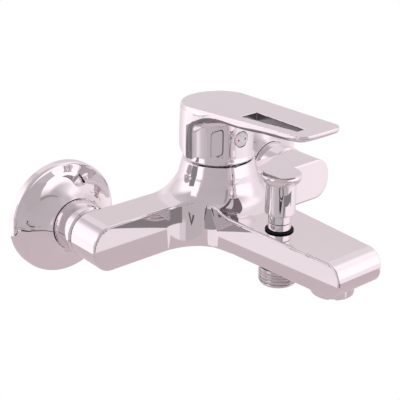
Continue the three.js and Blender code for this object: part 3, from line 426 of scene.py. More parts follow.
def turned(outline: Outline, radius: float = 0.3, segments: int = 144) -> Skin:
    """A turned piece on the upright axis.

    Args:
        outline: Closed section of (radius, height) corners.
        radius: Rounding of its corners.
        segments: Number of flats around.

    Returns:
        The closed surface with its true normals.
    """
    section, lean = softened(outline, radius)
    angles = np.linspace(0, 2 * math.pi, segments, endpoint=False)
    round_x, round_y = np.cos(angles), np.sin(angles)
    points: list[Array] = []
    normals: list[Array] = []
    rings: list[Array] = []
    count = 0
    for (r, h), (nr, nh) in zip(section, lean):
        if r < TINY:
            points.append(np.array([[0, 0, h]]))
            normals.append(np.array([[0, 0, math.copysign(1, nh)]]))
            rings.append(np.full(segments, count))
            count += 1
            continue
        points.append(np.stack([r * round_x, r * round_y, np.full(segments, h)], axis=1))
        normals.append(np.stack([nr * round_x, nr * round_y, np.full(segments, nh)], axis=1))
        rings.append(np.arange(count, count + segments))
        count += segments
    faces: list[tuple[int, ...]] = []
    for i, lower in enumerate(rings):
        upper = rings[(i + 1) % len(rings)]
        if lower[0] == lower[1] and upper[0] == upper[1]:
            continue
        for k in range(segments):
            m = (k + 1) % segments
            loop = dict.fromkeys((lower[k], lower[m], upper[m], upper[k]))
            faces.append(tuple(int(n) for n in loop))
    return Skin(np.concatenate(points), faces, np.concatenate(normals))


def strung(rings: Sequence[tuple[float, float, float]], segments: int = 96) -> Skin:
    """A tube wall strung over circles that face +Y, out along one side and back inside.

    Args:
        rings: (y, height of the centre, radius) of each circle, in a closed round.
        segments: Number of flats around.

    Returns:
        The closed surface.
    """
    angles = np.linspace(0, 2 * math.pi, segments, endpoint=False)
    round_x, round_z = np.cos(angles), np.sin(angles)
    points = [
        np.stack([r * round_x, np.full(segments, y), h + r * round_z], axis=1) for y, h, r in rings
    ]
    faces: list[tuple[int, ...]] = []
    for i in range(len(rings)):
        a, b = i * segments, (i + 1) % len(rings) * segments
        for k in range(segments):
            m = (k + 1) % segments
            faces.append((a + k, b + k, b + m, a + m))
    return Skin(np.concatenate(points), faces)


# ------------------------------------------------------------------ node trees


@dataclass
class Wiring:
    """Adds nodes to a node tree and joins them up."""

    tree: bpy.types.NodeTree

    def node(
        self, kind: str, inputs: dict[str | int, Value] | None = None, **options: object
    ) -> bpy.types.Node:
        """Adds a node.

        Args:
            kind: The node's type.
            inputs: A socket or a plain value for each input, by its name or number.
            **options: The node's own settings, made before its inputs.

        Returns:
            The node.
        """
        made = self.tree.nodes.new(kind)
        for option, value in options.items():
            setattr(made, option, value)
        self.feed(made, inputs or {})
        return made

    def feed(self, node: bpy.types.Node, inputs: dict[str | int, Value]) -> None:
        """Links or sets inputs of a node.

        Args:
            node: The node.
            inputs: A socket or a plain value for each input, by its name or number.
        """
        for key, value in inputs.items():
            if isinstance(value, Socket):
                self.tree.links.new(value, node.inputs[key])
            else:
                node.inputs[key].default_value = value

    def math(self, operation: str, *values: Socket | float) -> Socket:
        """One step of arithmetic on sockets or numbers."""
        step = self.node("ShaderNodeMath", dict(enumerate(values)), operation=operation)
        return step.outputs["Value"]

    def split(self, vector: Socket) -> bpy.types.NodeOutputs:
        """The X, Y and Z of a vector."""
        return self.node("ShaderNodeSeparateXYZ", {"Vector": vector}).outputs

    def step(self, value: Socket, low: float, high: float) -> Socket:
        """A smooth step.

        Args:
            value: What it follows.
            low: The value at which it leaves 0.
            high: The value at which it reaches 1.

        Returns:
            The step's height.
        """
        ends = {"Value": value, "From Min": low, "From Max": high}
        ease = self.node("ShaderNodeMapRange", ends, interpolation_type="SMOOTHSTEP")
        return ease.outputs["Result"]

    def blend(self, share: Socket, first: Socket, second: Socket | float) -> Socket:
        """The first value where the share is 0 and the second where it is 1."""
        ends = {"Factor": share, "A": first, "B": second}
        return self.node("ShaderNodeMix", ends).outputs["Result"]

    def tint(self, share: Socket, first: Socket | Colour, second: Colour) -> Socket:
        """A mix of two colours.

        Args:
            share: Share of the second colour, from 0 to 1.
            first: The first colour.
            second: The second colour.

        Returns:
            The mixed colour.
        """
        start = first if isinstance(first, Socket) else (*first, 1)
        ends = {"Factor": share, "A": start, "B": (*second, 1)}
        return self.node("ShaderNodeMix", ends, data_type="RGBA").outputs["Result"]

    def choice(self, share: Socket, first: Socket, second: Socket) -> Socket:
        """The first shader where the share is 0 and the second where it is 1."""
        ends = {"Fac": share, 1: first, 2: second}
        return self.node("ShaderNodeMixShader", ends).outputs["Shader"]

    def curve(self, value: Socket, points: Outline, top: float = 1) -> Socket:
        """Straight lines drawn through points.

        Args:
            value: Where along the lines, from 0 to 1.
            points: The points, in order.
            top: The highest value that a point may have.

        Returns:
            The height of the lines there.
        """
        made = self.node("ShaderNodeFloatCurve", {"Value": value})
        drawn = made.mapping.curves[0]
        made.mapping.clip_max_y = top
        for _ in points[2:]:
            drawn.points.new(0.5, 0.5)
        for point, place in zip(drawn.points, points):
            point.location = place
            point.handle_type = "VECTOR"
        made.mapping.update()
        return made.outputs["Value"]

    def group(
        self, effect: "Effect", scale: float, roughness: float, spread: float
    ) -> bpy.types.NodeOutputs:
        """A shared effect with this material's own values."""
        given = {"Scale": scale, "Base Roughness": roughness, "Spread": spread}
        return self.node("ShaderNodeGroup", given, node_tree=effect_group(effect)).outputs


class Effect(Enum):
    """The shared surface effects, each one shader node group."""

    POLISH = "polish haze"
    TURNING = "turning marks"
    MOULDING = "moulded grain"


def new_socket(
    tree: bpy.types.NodeTree, name: str, kind: str, value: float | None = None, out: bool = False
) -> None:
    """Adds a named socket to a node tree.

    Args:
        tree: The tree.
        name: The socket's name.
        kind: Its socket type.
        value: Its value if nothing sets it.
        out: True for an output.
    """
    made = tree.interface.new_socket(name, in_out="OUTPUT" if out else "INPUT", socket_type=kind)
    if value is not None:
        made.default_value = value


def effect_group(effect: Effect) -> bpy.types.NodeTree:
    """The shader node group of an effect, built once.

    Args:
        effect: Which effect.

    Returns:
        A group with Scale, Base Roughness and Spread in, and Roughness, Mask and Height out.
    """
    found = bpy.data.node_groups.get(effect.value)
    if found:
        return found
    tree = bpy.data.node_groups.new(effect.value, "ShaderNodeTree")
    for name, value in (("Scale", 60), ("Base Roughness", 0.05), ("Spread", 0.02)):
        new_socket(tree, name, "NodeSocketFloat", value)
    for name in ("Roughness", "Mask", "Height"):
        new_socket(tree, name, "NodeSocketFloat", out=True)
    wiring = Wiring(tree)
    given = wiring.node("NodeGroupInput").outputs
    place = wiring.node("ShaderNodeTexCoord").outputs["Object"]
    cloud = {"Detail": HAZE_DETAIL, "Vector": place, "Scale": given["Scale"]}
    coarse = wiring.node("ShaderNodeTexNoise", cloud).outputs["Fac"]
    height = coarse
    if effect is Effect.TURNING:
        scale = wiring.math("MULTIPLY", given["Scale"], TURNING_SCALE)
        marks = {"Distortion": MARK_WAVER, "Scale": scale, "Vector": place}
        lines = wiring.node("ShaderNodeTexWave", marks, wave_type="BANDS", bands_direction="Z")
        height = lines.outputs["Fac"]
    if effect is Effect.MOULDING:
        scale = wiring.math("MULTIPLY", given["Scale"], MOULDING_SCALE)
        grain = {"Detail": GRAIN_DETAIL, "Scale": scale, "Vector": place}
        height = wiring.node("ShaderNodeTexNoise", grain).outputs["Fac"]
    rough = wiring.math("MULTIPLY_ADD", coarse, given["Spread"], given["Base Roughness"])
    wiring.node("NodeGroupOutput", {"Roughness": rough, "Mask": coarse, "Height": height})
    return tree


# ------------------------------------------------------------------ finishes


def new_material(name: str) -> tuple[bpy.types.Material, Wiring]:
    """A new node material.

    Args:
        name: Its name.

    Returns:
        The material and the wiring of its tree.
    """
    made = bpy.data.materials.new(name)
    made.use_nodes = True
    return made, Wiring(made.node_tree)


@dataclass(frozen=True)
class Finish:
    """A surface finish, with the name of its material and the slot it belongs to."""

    name: str
    slot: str

    def material(self) -> bpy.types.Material:
        """The procedural material of this finish, built once."""
        return bpy.data.materials.get(self.name) or self.mixed()

    def mixed(self) -> bpy.types.Material:
        """Builds the material."""
        raise NotImplementedError


@dataclass(frozen=True)
class WorkedFinish(Finish):
    """Two close colours, a shared effect and how strongly it shows."""

    colour: Colour
    second: Colour
    metallic: float
    effect: Effect
    scale: float
    roughness: float
    spread: float
    relief: float
    ior: float = 1.5

    def mixed(self) -> bpy.types.Material:
        """Builds the material.

        Returns:
            The effect and the two colours on one surface.
        """
        made, wiring = new_material(self.name)
        worked = wiring.group(self.effect, self.scale, self.roughness, self.spread)
        surface = {
            "Metallic": self.metallic,
            "IOR": self.ior,
            "Base Color": wiring.tint(worked["Mask"], self.colour, self.second),
            "Roughness": worked["Roughness"],
        }
        if self.relief:
            relief = {
                "Strength": self.relief,
                "Distance": RELIEF_HEIGHT * MM,
                "Height": worked["Height"],
            }
            surface["Normal"] = wiring.node("ShaderNodeBump", relief).outputs["Normal"]
        wiring.feed(made.node_tree.nodes["Principled BSDF"], surface)
        return made


CHROME = WorkedFinish(
    name="polished_chrome",
    slot="chrome",
    colour=(0.82, 0.775, 0.80),
    second=(0.84, 0.80, 0.82),
    metallic=1,
    effect=Effect.POLISH,
    scale=35,
    roughness=0.006,
    spread=0.016,
    relief=0,
)
THREAD = WorkedFinish(
    name="plated_thread",
    slot="chrome",
    colour=(0.62, 0.59, 0.60),
    second=(0.72, 0.69, 0.70),
    metallic=1,
    effect=Effect.TURNING,
    scale=60,
    roughness=0.14,
    spread=0.1,
    relief=0.15,
)
BRASS = WorkedFinish(
    name="turned_brass",
    slot="brass",
    colour=(0.62, 0.42, 0.16),
    second=(0.72, 0.52, 0.24),
    metallic=1,
    effect=Effect.TURNING,
    scale=50,
    roughness=0.26,
    spread=0.12,
    relief=0.3,
)
STEEL = WorkedFinish(
    name="drawn_steel",
    slot="steel",
    colour=(0.52, 0.53, 0.55),
    second=(0.62, 0.63, 0.65),
    metallic=1,
    effect=Effect.TURNING,
    scale=70,
    roughness=0.24,
    spread=0.1,
    relief=0.2,
)
CERAMIC = WorkedFinish(
    name="lapped_ceramic",
    slot="ceramic",
    colour=(0.88, 0.85, 0.78),
    second=(0.92, 0.90, 0.85),
    metallic=0,
    effect=Effect.MOULDING,
    scale=90,
    roughness=0.16,
    spread=0.1,
    relief=0.1,
    ior=1.7,
)
ACETAL = WorkedFinish(
    name="moulded_acetal",
    slot="plastic",
    colour=(0.80, 0.79, 0.75),
    second=(0.86, 0.85, 0.81),
    metallic=0,
    effect=Effect.MOULDING,
    scale=120,
    roughness=0.42,
    spread=0.12,
    relief=0.4,
)
RUBBER = WorkedFinish(
    name="moulded_rubber",
    slot="rubber",
    colour=(0.004, 0.004, 0.0045),
    second=(0.011, 0.011, 0.012),
    metallic=0,
    effect=Effect.MOULDING,
    scale=150,
    roughness=0.3,
    spread=0.2,
    relief=0.3,
    ior=1.15,
)


@dataclass(frozen=True)
class LeverFinish(Finish):
    """Polished chrome with painted shade: dark and rough under the lever and in its slot.

    The painted shade stands in for the dark reflection under the lever. It ends at an edge that
    is given by pairs of distance in front of the hub's axis and depth below the lever's top face.
    """

    name: str = "lever_chrome"
    slot: str = "chrome"
    flank: float = 18.6
    taper: float = 0.071
    barrel: float = 20.5
    behind: float = 3.0
    foot: float = 37.0
    rim: float = 0.35
    slot_front: float = 71.5
    span: float = 100.0
    blur: tuple[float, float] = (-0.15, 0.25)
    # Painted shade: the edge, colour and roughness of the dark band that stands in for reflection.
    painted_shade_edge: Outline = (
        (0, 8.8), (5.5, 5.8), (9.5, 3.9), (14, 3.0), (24, 2.8), (36, 3.4),
        (46, 2.6), (62, 2.1), (70, 2.7), (74, 5.0), (100, 5.0),
    )  # fmt: skip
    painted_shade: Colour = (0.30, 0.285, 0.295)
    painted_shade_roughness: float = 0.22

    def painted_shade_mask(self, wiring: Wiring) -> Socket:
        """Where the shade is painted.

        Args:
            wiring: The material's wiring.

        Returns:
            A mask that is 1 there and 0 elsewhere.
        """
        tool = wiring.math
        place = wiring.split(wiring.node("ShaderNodeTexCoord").outputs["Object"])
        forward = tool("MULTIPLY_ADD", place["Y"], -1 / MM, -HUB)
        across = tool("ABSOLUTE", tool("DIVIDE", place["X"], MM))
        height = tool("DIVIDE", place["Z"], MM)
        depth = tool("SUBTRACT", tool("MULTIPLY_ADD", forward, LEVER_RISE, LEVER_TOP), height)
        edge = [(ahead / self.span, drop / self.span) for ahead, drop in self.painted_shade_edge]
        drop = tool("MULTIPLY", wiring.curve(tool("DIVIDE", forward, self.span), edge), self.span)
        below = tool("SUBTRACT", depth, drop)
        inward = tool("SUBTRACT", tool("MULTIPLY_ADD", forward, -self.taper, self.flank), across)
        inside = tool("MINIMUM", inward, tool("SUBTRACT", depth, self.rim))
        inside = tool("MINIMUM", inside, tool("SUBTRACT", self.slot_front, forward))
        ahead = tool("ADD", forward, self.behind)
        raised = tool("SUBTRACT", height, self.foot)
        hidden = tool("MINIMUM", tool("MAXIMUM", below, inside), tool("MINIMUM", ahead, raised))
        wide, long = tool("MULTIPLY", across, across), tool("MULTIPLY", forward, forward)
        beyond = tool("SUBTRACT", tool("SQRT", tool("ADD", wide, long)), self.barrel)
        return wiring.step(tool("MINIMUM", hidden, beyond), *self.blur)

    def mixed(self) -> bpy.types.Material:
        """Builds the material.

        Returns:
            The polished chrome with its painted shade.
        """
        made = CHROME.material().copy()
        made.name = self.name
        wiring = Wiring(made.node_tree)
        surface = made.node_tree.nodes["Principled BSDF"]
        # Painted shade: a darker colour and a higher roughness where the mask is 1, in place of
        # reflected shade.
        mask = self.painted_shade_mask(wiring)
        worked = (surface.inputs[name].links[0] for name in ("Base Color", "Roughness"))
        colour, rough = (link.from_socket for link in worked)
        shaded_surface = {
            "Base Color": wiring.tint(mask, colour, self.painted_shade),
            "Roughness": wiring.blend(mask, rough, self.painted_shade_roughness),
        }
        wiring.feed(surface, shaded_surface)
        return made


@dataclass(frozen=True)
class PlugFinish(Finish):
    """Glossy white plug with a red and a blue temperature dot printed on its face."""

    name: str = "temperature_plug"
    slot: str = "plug_white"
    centre: Place = (0.0, 0.0, 0.0)
    dot_radius: float = 0.72
    dot_offset: float = 2.45
    dot_blur: float = 0.15
    white: Colour = (0.86, 0.83, 0.86)
    red: Colour = (0.62, 0.01, 0.05)
    blue: Colour = (0.05, 0.08, 0.28)
    grain: float = 160.0
    roughness: float = 0.12
    spread: float = 0.1
    coat: float = 0.6

    def mixed(self) -> bpy.types.Material:
        """Builds the material.

        Returns:
            The white gloss with its two dots.
        """
        made, wiring = new_material(self.name)
        place = wiring.node("ShaderNodeTexCoord").outputs["Object"]
        face = {"Vector": place, "Scale": (1, 0, 1)}
        flat = wiring.node("ShaderNodeMapping", face).outputs["Vector"]
        colour: Socket | Colour = self.white
        for side, paint in ((-1, self.red), (1, self.blue)):
            spot = (self.centre[0] + side * self.dot_offset, self.centre[1], self.centre[2])
            ends = {0: flat, 1: tuple(c * MM for c in spot)}
            away = wiring.node("ShaderNodeVectorMath", ends, operation="DISTANCE")
            rim = {
                "Value": away.outputs["Value"],
                "From Min": self.dot_radius * MM,
                "From Max": (self.dot_radius - self.dot_blur) * MM,
            }
            inside = wiring.node("ShaderNodeMapRange", rim).outputs["Result"]
            colour = wiring.tint(inside, colour, paint)
        worked = wiring.group(Effect.MOULDING, self.grain, self.roughness, self.spread)
        surface = {
            "Base Color": colour,
            "Roughness": worked["Roughness"],
            "Coat Weight": self.coat,
        }
        wiring.feed(made.node_tree.nodes["Principled BSDF"], surface)
        return made


# ------------------------------------------------------------------ repeated patterns


def baked(
    name: str,
    tree: bpy.types.NodeTree,
    values: dict[str, float | int | bpy.types.Material],
    offset: Place,
    turn: Matrix | None = None,
) -> bpy.types.Object:
    """Runs a geometry node tree on an empty mesh and keeps its result as a plain mesh.

    Args:
        name: The piece's name.
        tree: The geometry node tree.
        values: What its named inputs are set to.
        offset: Where the tree's origin goes, in millimetres.
        turn: A turn made before the offset.

    Returns:
        An object at the origin with the finished mesh.
    """
    carrier = shown(name + "_carrier", bpy.data.meshes.new(name + "_carrier"))
    modifier = carrier.modifiers.new("tree", "NODES")
    modifier.node_group = tree
    for item in tree.interface.items_tree:
        if item.item_type == "SOCKET" and item.in_out == "INPUT" and item.name in values:
            modifier[item.identifier] = values[item.name]
    graph = bpy.context.evaluated_depsgraph_get()
    mesh = bpy.data.meshes.new_from_object(carrier.evaluated_get(graph), depsgraph=graph)
    carrier.modifiers.clear()
    bpy.data.objects.remove(carrier)
    mesh.name = name
    if turn is not None:
        mesh.transform(turn.to_4x4())
    mesh.transform(Matrix.Translation(Vector(offset) * MM))
    mesh.shade_smooth()
    mesh.set_sharp_from_angle(angle=math.radians(PATTERN_ANGLE))
    return shown(name, mesh)


def pattern_tree(
    name: str,
    inputs: dict[str, str],
    pattern: Callable[[Wiring, bpy.types.NodeOutputs], Socket],
) -> bpy.types.NodeTree:
    """A geometry node tree with named inputs, built once.

    Args:
        name: The tree's name.
        inputs: The socket type of each input.
        pattern: Makes the geometry from the tree's inputs.

    Returns:
        The tree, which ends in Realize Instances and Set Material.
    """
    found = bpy.data.node_groups.get(name)
    if found:
        return found
    tree = bpy.data.node_groups.new(name, "GeometryNodeTree")
    tree.is_modifier = True
    new_socket(tree, "Geometry", "NodeSocketGeometry", out=True)
    for label, kind in inputs.items():
        new_socket(tree, label, kind)
    new_socket(tree, "Material", "NodeSocketMaterial")
    wiring = Wiring(tree)
    given = wiring.node("NodeGroupInput").outputs
    loose = {"Geometry": pattern(wiring, given)}
    real = wiring.node("GeometryNodeRealizeInstances", loose).outputs["Geometry"]
    dressing = {"Geometry": real, "Material": given["Material"]}
    dressed = wiring.node("GeometryNodeSetMaterial", dressing).outputs["Geometry"]
    wiring.node("NodeGroupOutput", {"Geometry": dressed})
    return tree


def thread_ridge(wiring: Wiring, given: bpy.types.NodeOutputs) -> Socket:
    """A screw thread's ridge: a small round rope wound on a spiral.

    Args:
        wiring: The tree's wiring.
        given: Its inputs Radius, Length, Turns and Ridge.

    Returns:
        The ridge's mesh.
    """
    path = {
        "Resolution": SPIRAL_STEPS,
        "Rotations": given["Turns"],
        "Start Radius": given["Radius"],
        "End Radius": given["Radius"],
        "Height": given["Length"],
    }
    spiral = wiring.node("GeometryNodeCurveSpiral", path)
    round_rope = {"Resolution": ROPE_SIDES, "Radius": given["Ridge"]}
    profile = wiring.node("GeometryNodeCurvePrimitiveCircle", round_rope)
    sweep = {
        "Fill Caps": True,
        "Curve": spiral.outputs["Curve"],
        "Profile Curve": profile.outputs["Curve"],
    }
    return wiring.node("GeometryNodeCurveToMesh", sweep).outputs["Mesh"]


def round_lattice(wiring: Wiring, given: bpy.types.NodeOutputs) -> Socket:
    """Crossed ribs that fill a round opening, each rib as long as its chord.

    Args:
        wiring: The tree's wiring.
        given: Its inputs Radius, Ribs, Wall and Height.

    Returns:
        Both layers of ribs.
    """
    tool, radius = wiring.math, given["Radius"]
    gap = tool("DIVIDE", tool("MULTIPLY", radius, 2.0), given["Ribs"])
    first = tool("SUBTRACT", tool("MULTIPLY", gap, 0.5), radius)
    row = {
        "Count": given["Ribs"],
        "Start Location": wiring.node("ShaderNodeCombineXYZ", {"X": first}).outputs["Vector"],
        "Offset": wiring.node("ShaderNodeCombineXYZ", {"X": gap}).outputs["Vector"],
    }
    line = wiring.node("GeometryNodeMeshLine", row)
    aside = wiring.split(wiring.node("GeometryNodeInputPosition").outputs["Position"])["X"]
    room = tool("SUBTRACT", tool("MULTIPLY", radius, radius), tool("MULTIPLY", aside, aside))
    chord = tool("MULTIPLY", tool("SQRT", room), 2.0)
    size = {"X": given["Wall"], "Y": chord, "Z": given["Height"]}
    ribs = {
        "Points": line.outputs["Mesh"],
        "Instance": wiring.node("GeometryNodeMeshCube", {"Size": (1, 1, 1)}).outputs["Mesh"],
        "Scale": wiring.node("ShaderNodeCombineXYZ", size).outputs["Vector"],
    }
    placed = wiring.node("GeometryNodeInstanceOnPoints", ribs).outputs["Instances"]
    quarter = {"Geometry": placed, "Rotation": (0, 0, math.pi / 2)}
    across = wiring.node("GeometryNodeTransform", quarter).outputs["Geometry"]
    both = wiring.node("GeometryNodeJoinGeometry", {"Geometry": placed})
    wiring.feed(both, {"Geometry": across})
    return both.outputs["Geometry"]


@dataclass(frozen=True)
class Thread:
    """A G1/2 screw thread's ridges."""

    radius: float
    length: float
    turns: float
    ridge: float

    def piece(
        self, name: str, finish: Finish, offset: Place, turn: Matrix | None = None
    ) -> None:
        """Makes the ridges as a piece of the mixer.

        Args:
            name: The piece's name.
            finish: Its finish.
            offset: Where the thread starts.
            turn: A turn of its upright axis.
        """
        sockets = dict.fromkeys(("Radius", "Length", "Turns", "Ridge"), "NodeSocketFloat")
        tree = pattern_tree("thread ridge", sockets, thread_ridge)
        values = {
            "Radius": self.radius * MM,
            "Length": self.length * MM,
            "Turns": self.turns,
            "Ridge": self.ridge * MM,
            "Material": finish.material(),
        }
        settled(baked(name, tree, values, offset, turn), "mixer", finish.slot)


# ------------------------------------------------------------------ sub-assemblies


@dataclass
class WallConnection:
    """One side's flange, union nut and eccentric union, on the inlet's axis."""

    label: str
    x: float
    flange_radius: float = 33.0
    flange_edge: float = 4.0
    flange_height: float = 17.4
    flange_lip: float = 2.0
    flange_lip_turn: float = 0.8
    flange_wall: float = 2.4
    flange_hollow: float = 1.4
    bell_run: float = 5.0
    bell_rise: float = 1.6
    bell_end: float = 0.5
    throat_run: float = 4.0
    throat_bevel: float = 0.3
    neck_bore: float = 15.05
    neck_radius: float = 15.85
    nut_radius: float = 14.75
    nut_mouth: float = 9.5
    nut_bore: float = 13.3
    nut_front: float = -32.6
    nut_step: float = -22.3
    nut_back: float = -8.6
    nut_bevel: float = 0.9
    union_radius: float = 13.0
    union_bore: float = 9.0
    union_front: float = -17.0
    union_bevel: float = 0.6
    offset_front: float = -8.0
    offset_back: float = -3.0
    wall_radius: float = 10.3
    wall_bore: float = 7.5
    wall_end: float = 18.0
    wall_bevel: float = 0.8
    eccentric: float = 8.0
    thread_start: float = 1.0
    ridges: Thread = Thread(radius=10.35, length=16.0, turns=8.8, ridge=0.42)

    def flange(self) -> None:
        """Makes the bell-shaped chrome flange."""
        r, neck, bore, top = (
            self.flange_radius,
            self.neck_radius,
            self.neck_bore,
            -self.flange_height,
        )
        shoulder = (r - self.flange_lip, -self.flange_edge - self.flange_lip)
        turn_in = (r, -self.flange_edge - self.flange_lip_turn * self.flange_lip)
        rim = bend((r, -self.flange_edge), turn_in, shoulder, 10)
        waist = (neck + self.bell_run, shoulder[1] - self.bell_rise)
        bell = bend(shoulder, waist, (neck, top + self.bell_end), 28)
        inner, depth = r - self.flange_wall, shoulder[1] + self.flange_hollow
        throat = (bore, top + self.throat_run), (bore + self.throat_run, depth)
        inside = bend(*throat, (inner, depth), 16)
        mouth = (neck - self.throat_bevel, top)
        outline = [(r, 0), *rim, *bell[1:], mouth, (bore, top), *inside, (inner, 0)]
        skin = turned(outline, segments=192).laid().placed((self.x, 0, 0))
        skin.piece(f"flange_cover_{self.label}", CHROME, "mixer", f"wall_flange_{self.label}")

    def nut(self) -> None:
        """Makes the round chrome union nut."""
        r, front, bevel = self.nut_radius, self.nut_front, self.nut_bevel
        outline = [
            (self.nut_mouth, front),
            (r - bevel, front),
            (r, front + bevel),
            (r, self.nut_back),
            (self.nut_bore, self.nut_back),
            (self.nut_bore, self.nut_step),
            (self.nut_mouth, self.nut_step),
        ]
        skin = turned(outline, radius=0.35).laid().placed((self.x, 0, 0))
        skin.piece(f"round_nut_{self.label}", CHROME, "mixer", f"union_nut_{self.label}")

    def union(self) -> None:
        """Makes the eccentric brass union between the nut and the wall."""
        low, front, end = -self.eccentric, self.union_front, self.wall_end
        shares = np.linspace(0, 1, 9)
        eased = shares * shares * (3 - 2 * shares)
        run = self.offset_back - self.offset_front
        narrower, tighter = self.union_radius - self.wall_radius, self.union_bore - self.wall_bore
        along = [(self.offset_front + run * t, low * e) for t, e in zip(shares, eased)]
        outer = [(*at, self.union_radius - narrower * e) for at, e in zip(along, eased)]
        inner = [(*at, self.union_bore - tighter * e) for at, e in zip(along, eased)]
        rings = [
            (front, 0, self.union_bore),
            (front, 0, self.union_radius - self.union_bevel),
            (front + self.union_bevel, 0, self.union_radius),
            *outer,
            (end - self.wall_bevel, low, self.wall_radius),
            (end, low, self.wall_radius - self.wall_bevel),
            (end, low, self.wall_bore),
            *inner[::-1],
        ]
        skin = strung(rings).placed((self.x, 0, 0))
        skin.piece(f"eccentric_union_{self.label}", BRASS, "mixer", f"s_union_{self.label}")

    def thread(self) -> None:
        """Makes the ridges of the G1/2 thread that screws into the wall's fitting."""
        turn = Matrix.Rotation(math.radians(-90), 3, "X")
        offset = (self.x, self.thread_start, -self.eccentric)
        self.ridges.piece(f"wall_thread_{self.label}", BRASS, offset, turn)

    def build(self) -> None:
        """Makes every piece of this side."""
        self.flange()
        self.nut()
        self.union()
        self.thread()


@dataclass
class BodyCasting:
    """The cast body: arms, tower with its flared foot, and the tapered spout."""

    arm_back: float = 32.9
    arm_depth: float = 23.1
    arm_height: float = 26.2
    arm_reach: float = 89.0
    arm_end: float = 11.0
    tower_top: float = 34.1
    tower_radius: float = 20.5
    foot_radius: float = 22.3
    flare: float = 16.0
    spout_reach: float = 163.5
    spout_top: float = 11.0
    spout_ease: float = 14.0
    spout_overlap: float = 2.0
    root_width: float = 39.8
    nose_width: float = 31.5
    root_fillet: float = 20.0
    nose_top: float = 9.0
    nose_low: float = 7.7
    under_run: float = 12.0
    under_rise: float = 5.8
    under_ease: float = 2.1
    under_root: float = 9.4
    under_nose: float = 8.0
    under_past: float = 1.3
    edge: float = 0.9
    top_edge: float = 0.4
    stub: Rod = Rod(9.2, -36, -19.6)
    collar: Rod = Rod(11.6, -22.0, -19.6)
    inlet: Rod = Rod(6.5, -42, -10)
    chamber: Rod = Rod(17.65, 1.5, 60)
    diverter_bores: tuple[Rod, ...] = (Rod(8.2, -30, 8.2), Rod(5.5, 5, 20), Rod(10.75, -30, -9.4))
    aerator_bores: tuple[Rod, ...] = (Rod(10.9, -30, -1.9), Rod(8.0, -10, 8.2))
    cell: float = 0.8

    def underside(self, forward: Array) -> Array:
        """Height of the spout's underside: a bend at its root, then a straight fall.

        Args:
            forward: Distances from the wall.

        Returns:
            The height at each distance.
        """
        front = self.arm_back + self.arm_depth
        root = front + self.root_fillet + self.under_run
        run, start = root - front, 2 * self.root_fillet
        share = np.clip((forward - front) / run, 0, 1)
        sag = start - run
        t = (start - np.sqrt(start**2 - 4 * sag * run * share)) / (2 * sag)
        rising = -self.arm_height / 2 + self.under_rise * t - self.under_ease * t * t
        drop = (forward - root) / (self.spout_reach - self.nose_low - root)
        return rising + (self.under_root - self.under_nose) * np.clip(drop, 0, self.under_past)

    def outside(self, x: Array, y: Array, z: Array) -> Array:
        """Distance to the outside of the casting.

        Args:
            x: Places across.
            y: Places towards the wall.
            z: Places upwards.

        Returns:
            The signed distance at each place.
        """
        forward, across = -y, np.abs(x)
        front = self.arm_back + self.arm_depth
        half_height = self.arm_height / 2
        past = np.maximum(across - (self.arm_reach - self.arm_end), 0)
        near = np.hypot(past / self.arm_end, z / half_height)
        steep = np.hypot(past / self.arm_end**2, z / half_height**2)
        section = near * (near - 1) / np.maximum(steep, TINY)
        depth = np.abs(forward - self.arm_back - self.arm_depth / 2) - self.arm_depth / 2

        foot = self.spout_top + self.flare
        lean = (self.foot_radius - self.tower_radius) / (self.tower_top - foot)
        radius = self.foot_radius - lean * np.maximum(z - foot, 0)
        tower = np.hypot(x, forward - HUB) - radius
        upper_tower = np.maximum(tower, self.flare - half_height - z)
        arms = within(joined(section, upper_tower, self.flare), depth, self.edge)

        root = front + self.root_fillet
        taper = (self.root_width - self.nose_width) / 2 / (self.spout_reach - root)
        side = (across - self.root_width / 2 + taper * (forward - root)) / math.hypot(1, taper)
        plan = joined(forward - front, side, self.root_fillet)
        wide = across - self.root_width / 2 - self.root_fillet
        plan = np.maximum(plan, np.maximum(self.arm_back + self.spout_overlap - forward, wide))
        ease = np.clip((forward - front) / self.spout_ease, 0, 1)
        lift = (half_height - self.spout_top) * (1 - ease * ease * (3 - 2 * ease))
        top = joined(z - self.spout_top - lift, tower, self.flare)
        nose = forward - self.spout_reach
        lower = within(self.underside(forward) - z, nose, self.nose_low)
        level = np.maximum(within(top, nose, self.nose_top), lower)
        spout = within(plan, level, self.edge)
        post = np.maximum(tower, -half_height - z)
        whole = np.minimum(np.minimum(arms, spout), post)
        return within(whole, z - self.tower_top, self.top_edge)

    def field(self, x: Array, y: Array, z: Array) -> Array:
        """Distance to the whole casting, with its stubs, chamber and bores.

        Args:
            x: Places across.
            y: Places towards the wall.
            z: Places upwards.

        Returns:
            The signed distance at each place.
        """
        whole = self.outside(x, y, z)
        for side in (-1, 1):
            u = x - side * INLET
            stub = np.minimum(self.stub.field(y, u, z), self.collar.field(y, u, z))
            whole = cut(np.minimum(whole, stub), self.inlet.field(y, u, z))
        whole = cut(whole, self.chamber.field(z, x, y + HUB))
        for place, bores in ((DIVERTER, self.diverter_bores), (AERATOR, self.aerator_bores)):
            du, dv = x - place[0], y - place[1]
            for bore in bores:
                whole = cut(whole, bore.field(z, du, dv))
        return whole

    def build(self) -> None:
        """Makes the casting."""
        low = (-self.arm_reach, -self.spout_reach, -self.arm_height / 2)
        high = (self.arm_reach, self.stub.end, self.tower_top)
        cell = self.cell
        skinned(self.field, low, high, cell).piece("mixer_body", CHROME, "mixer", "body_casting")


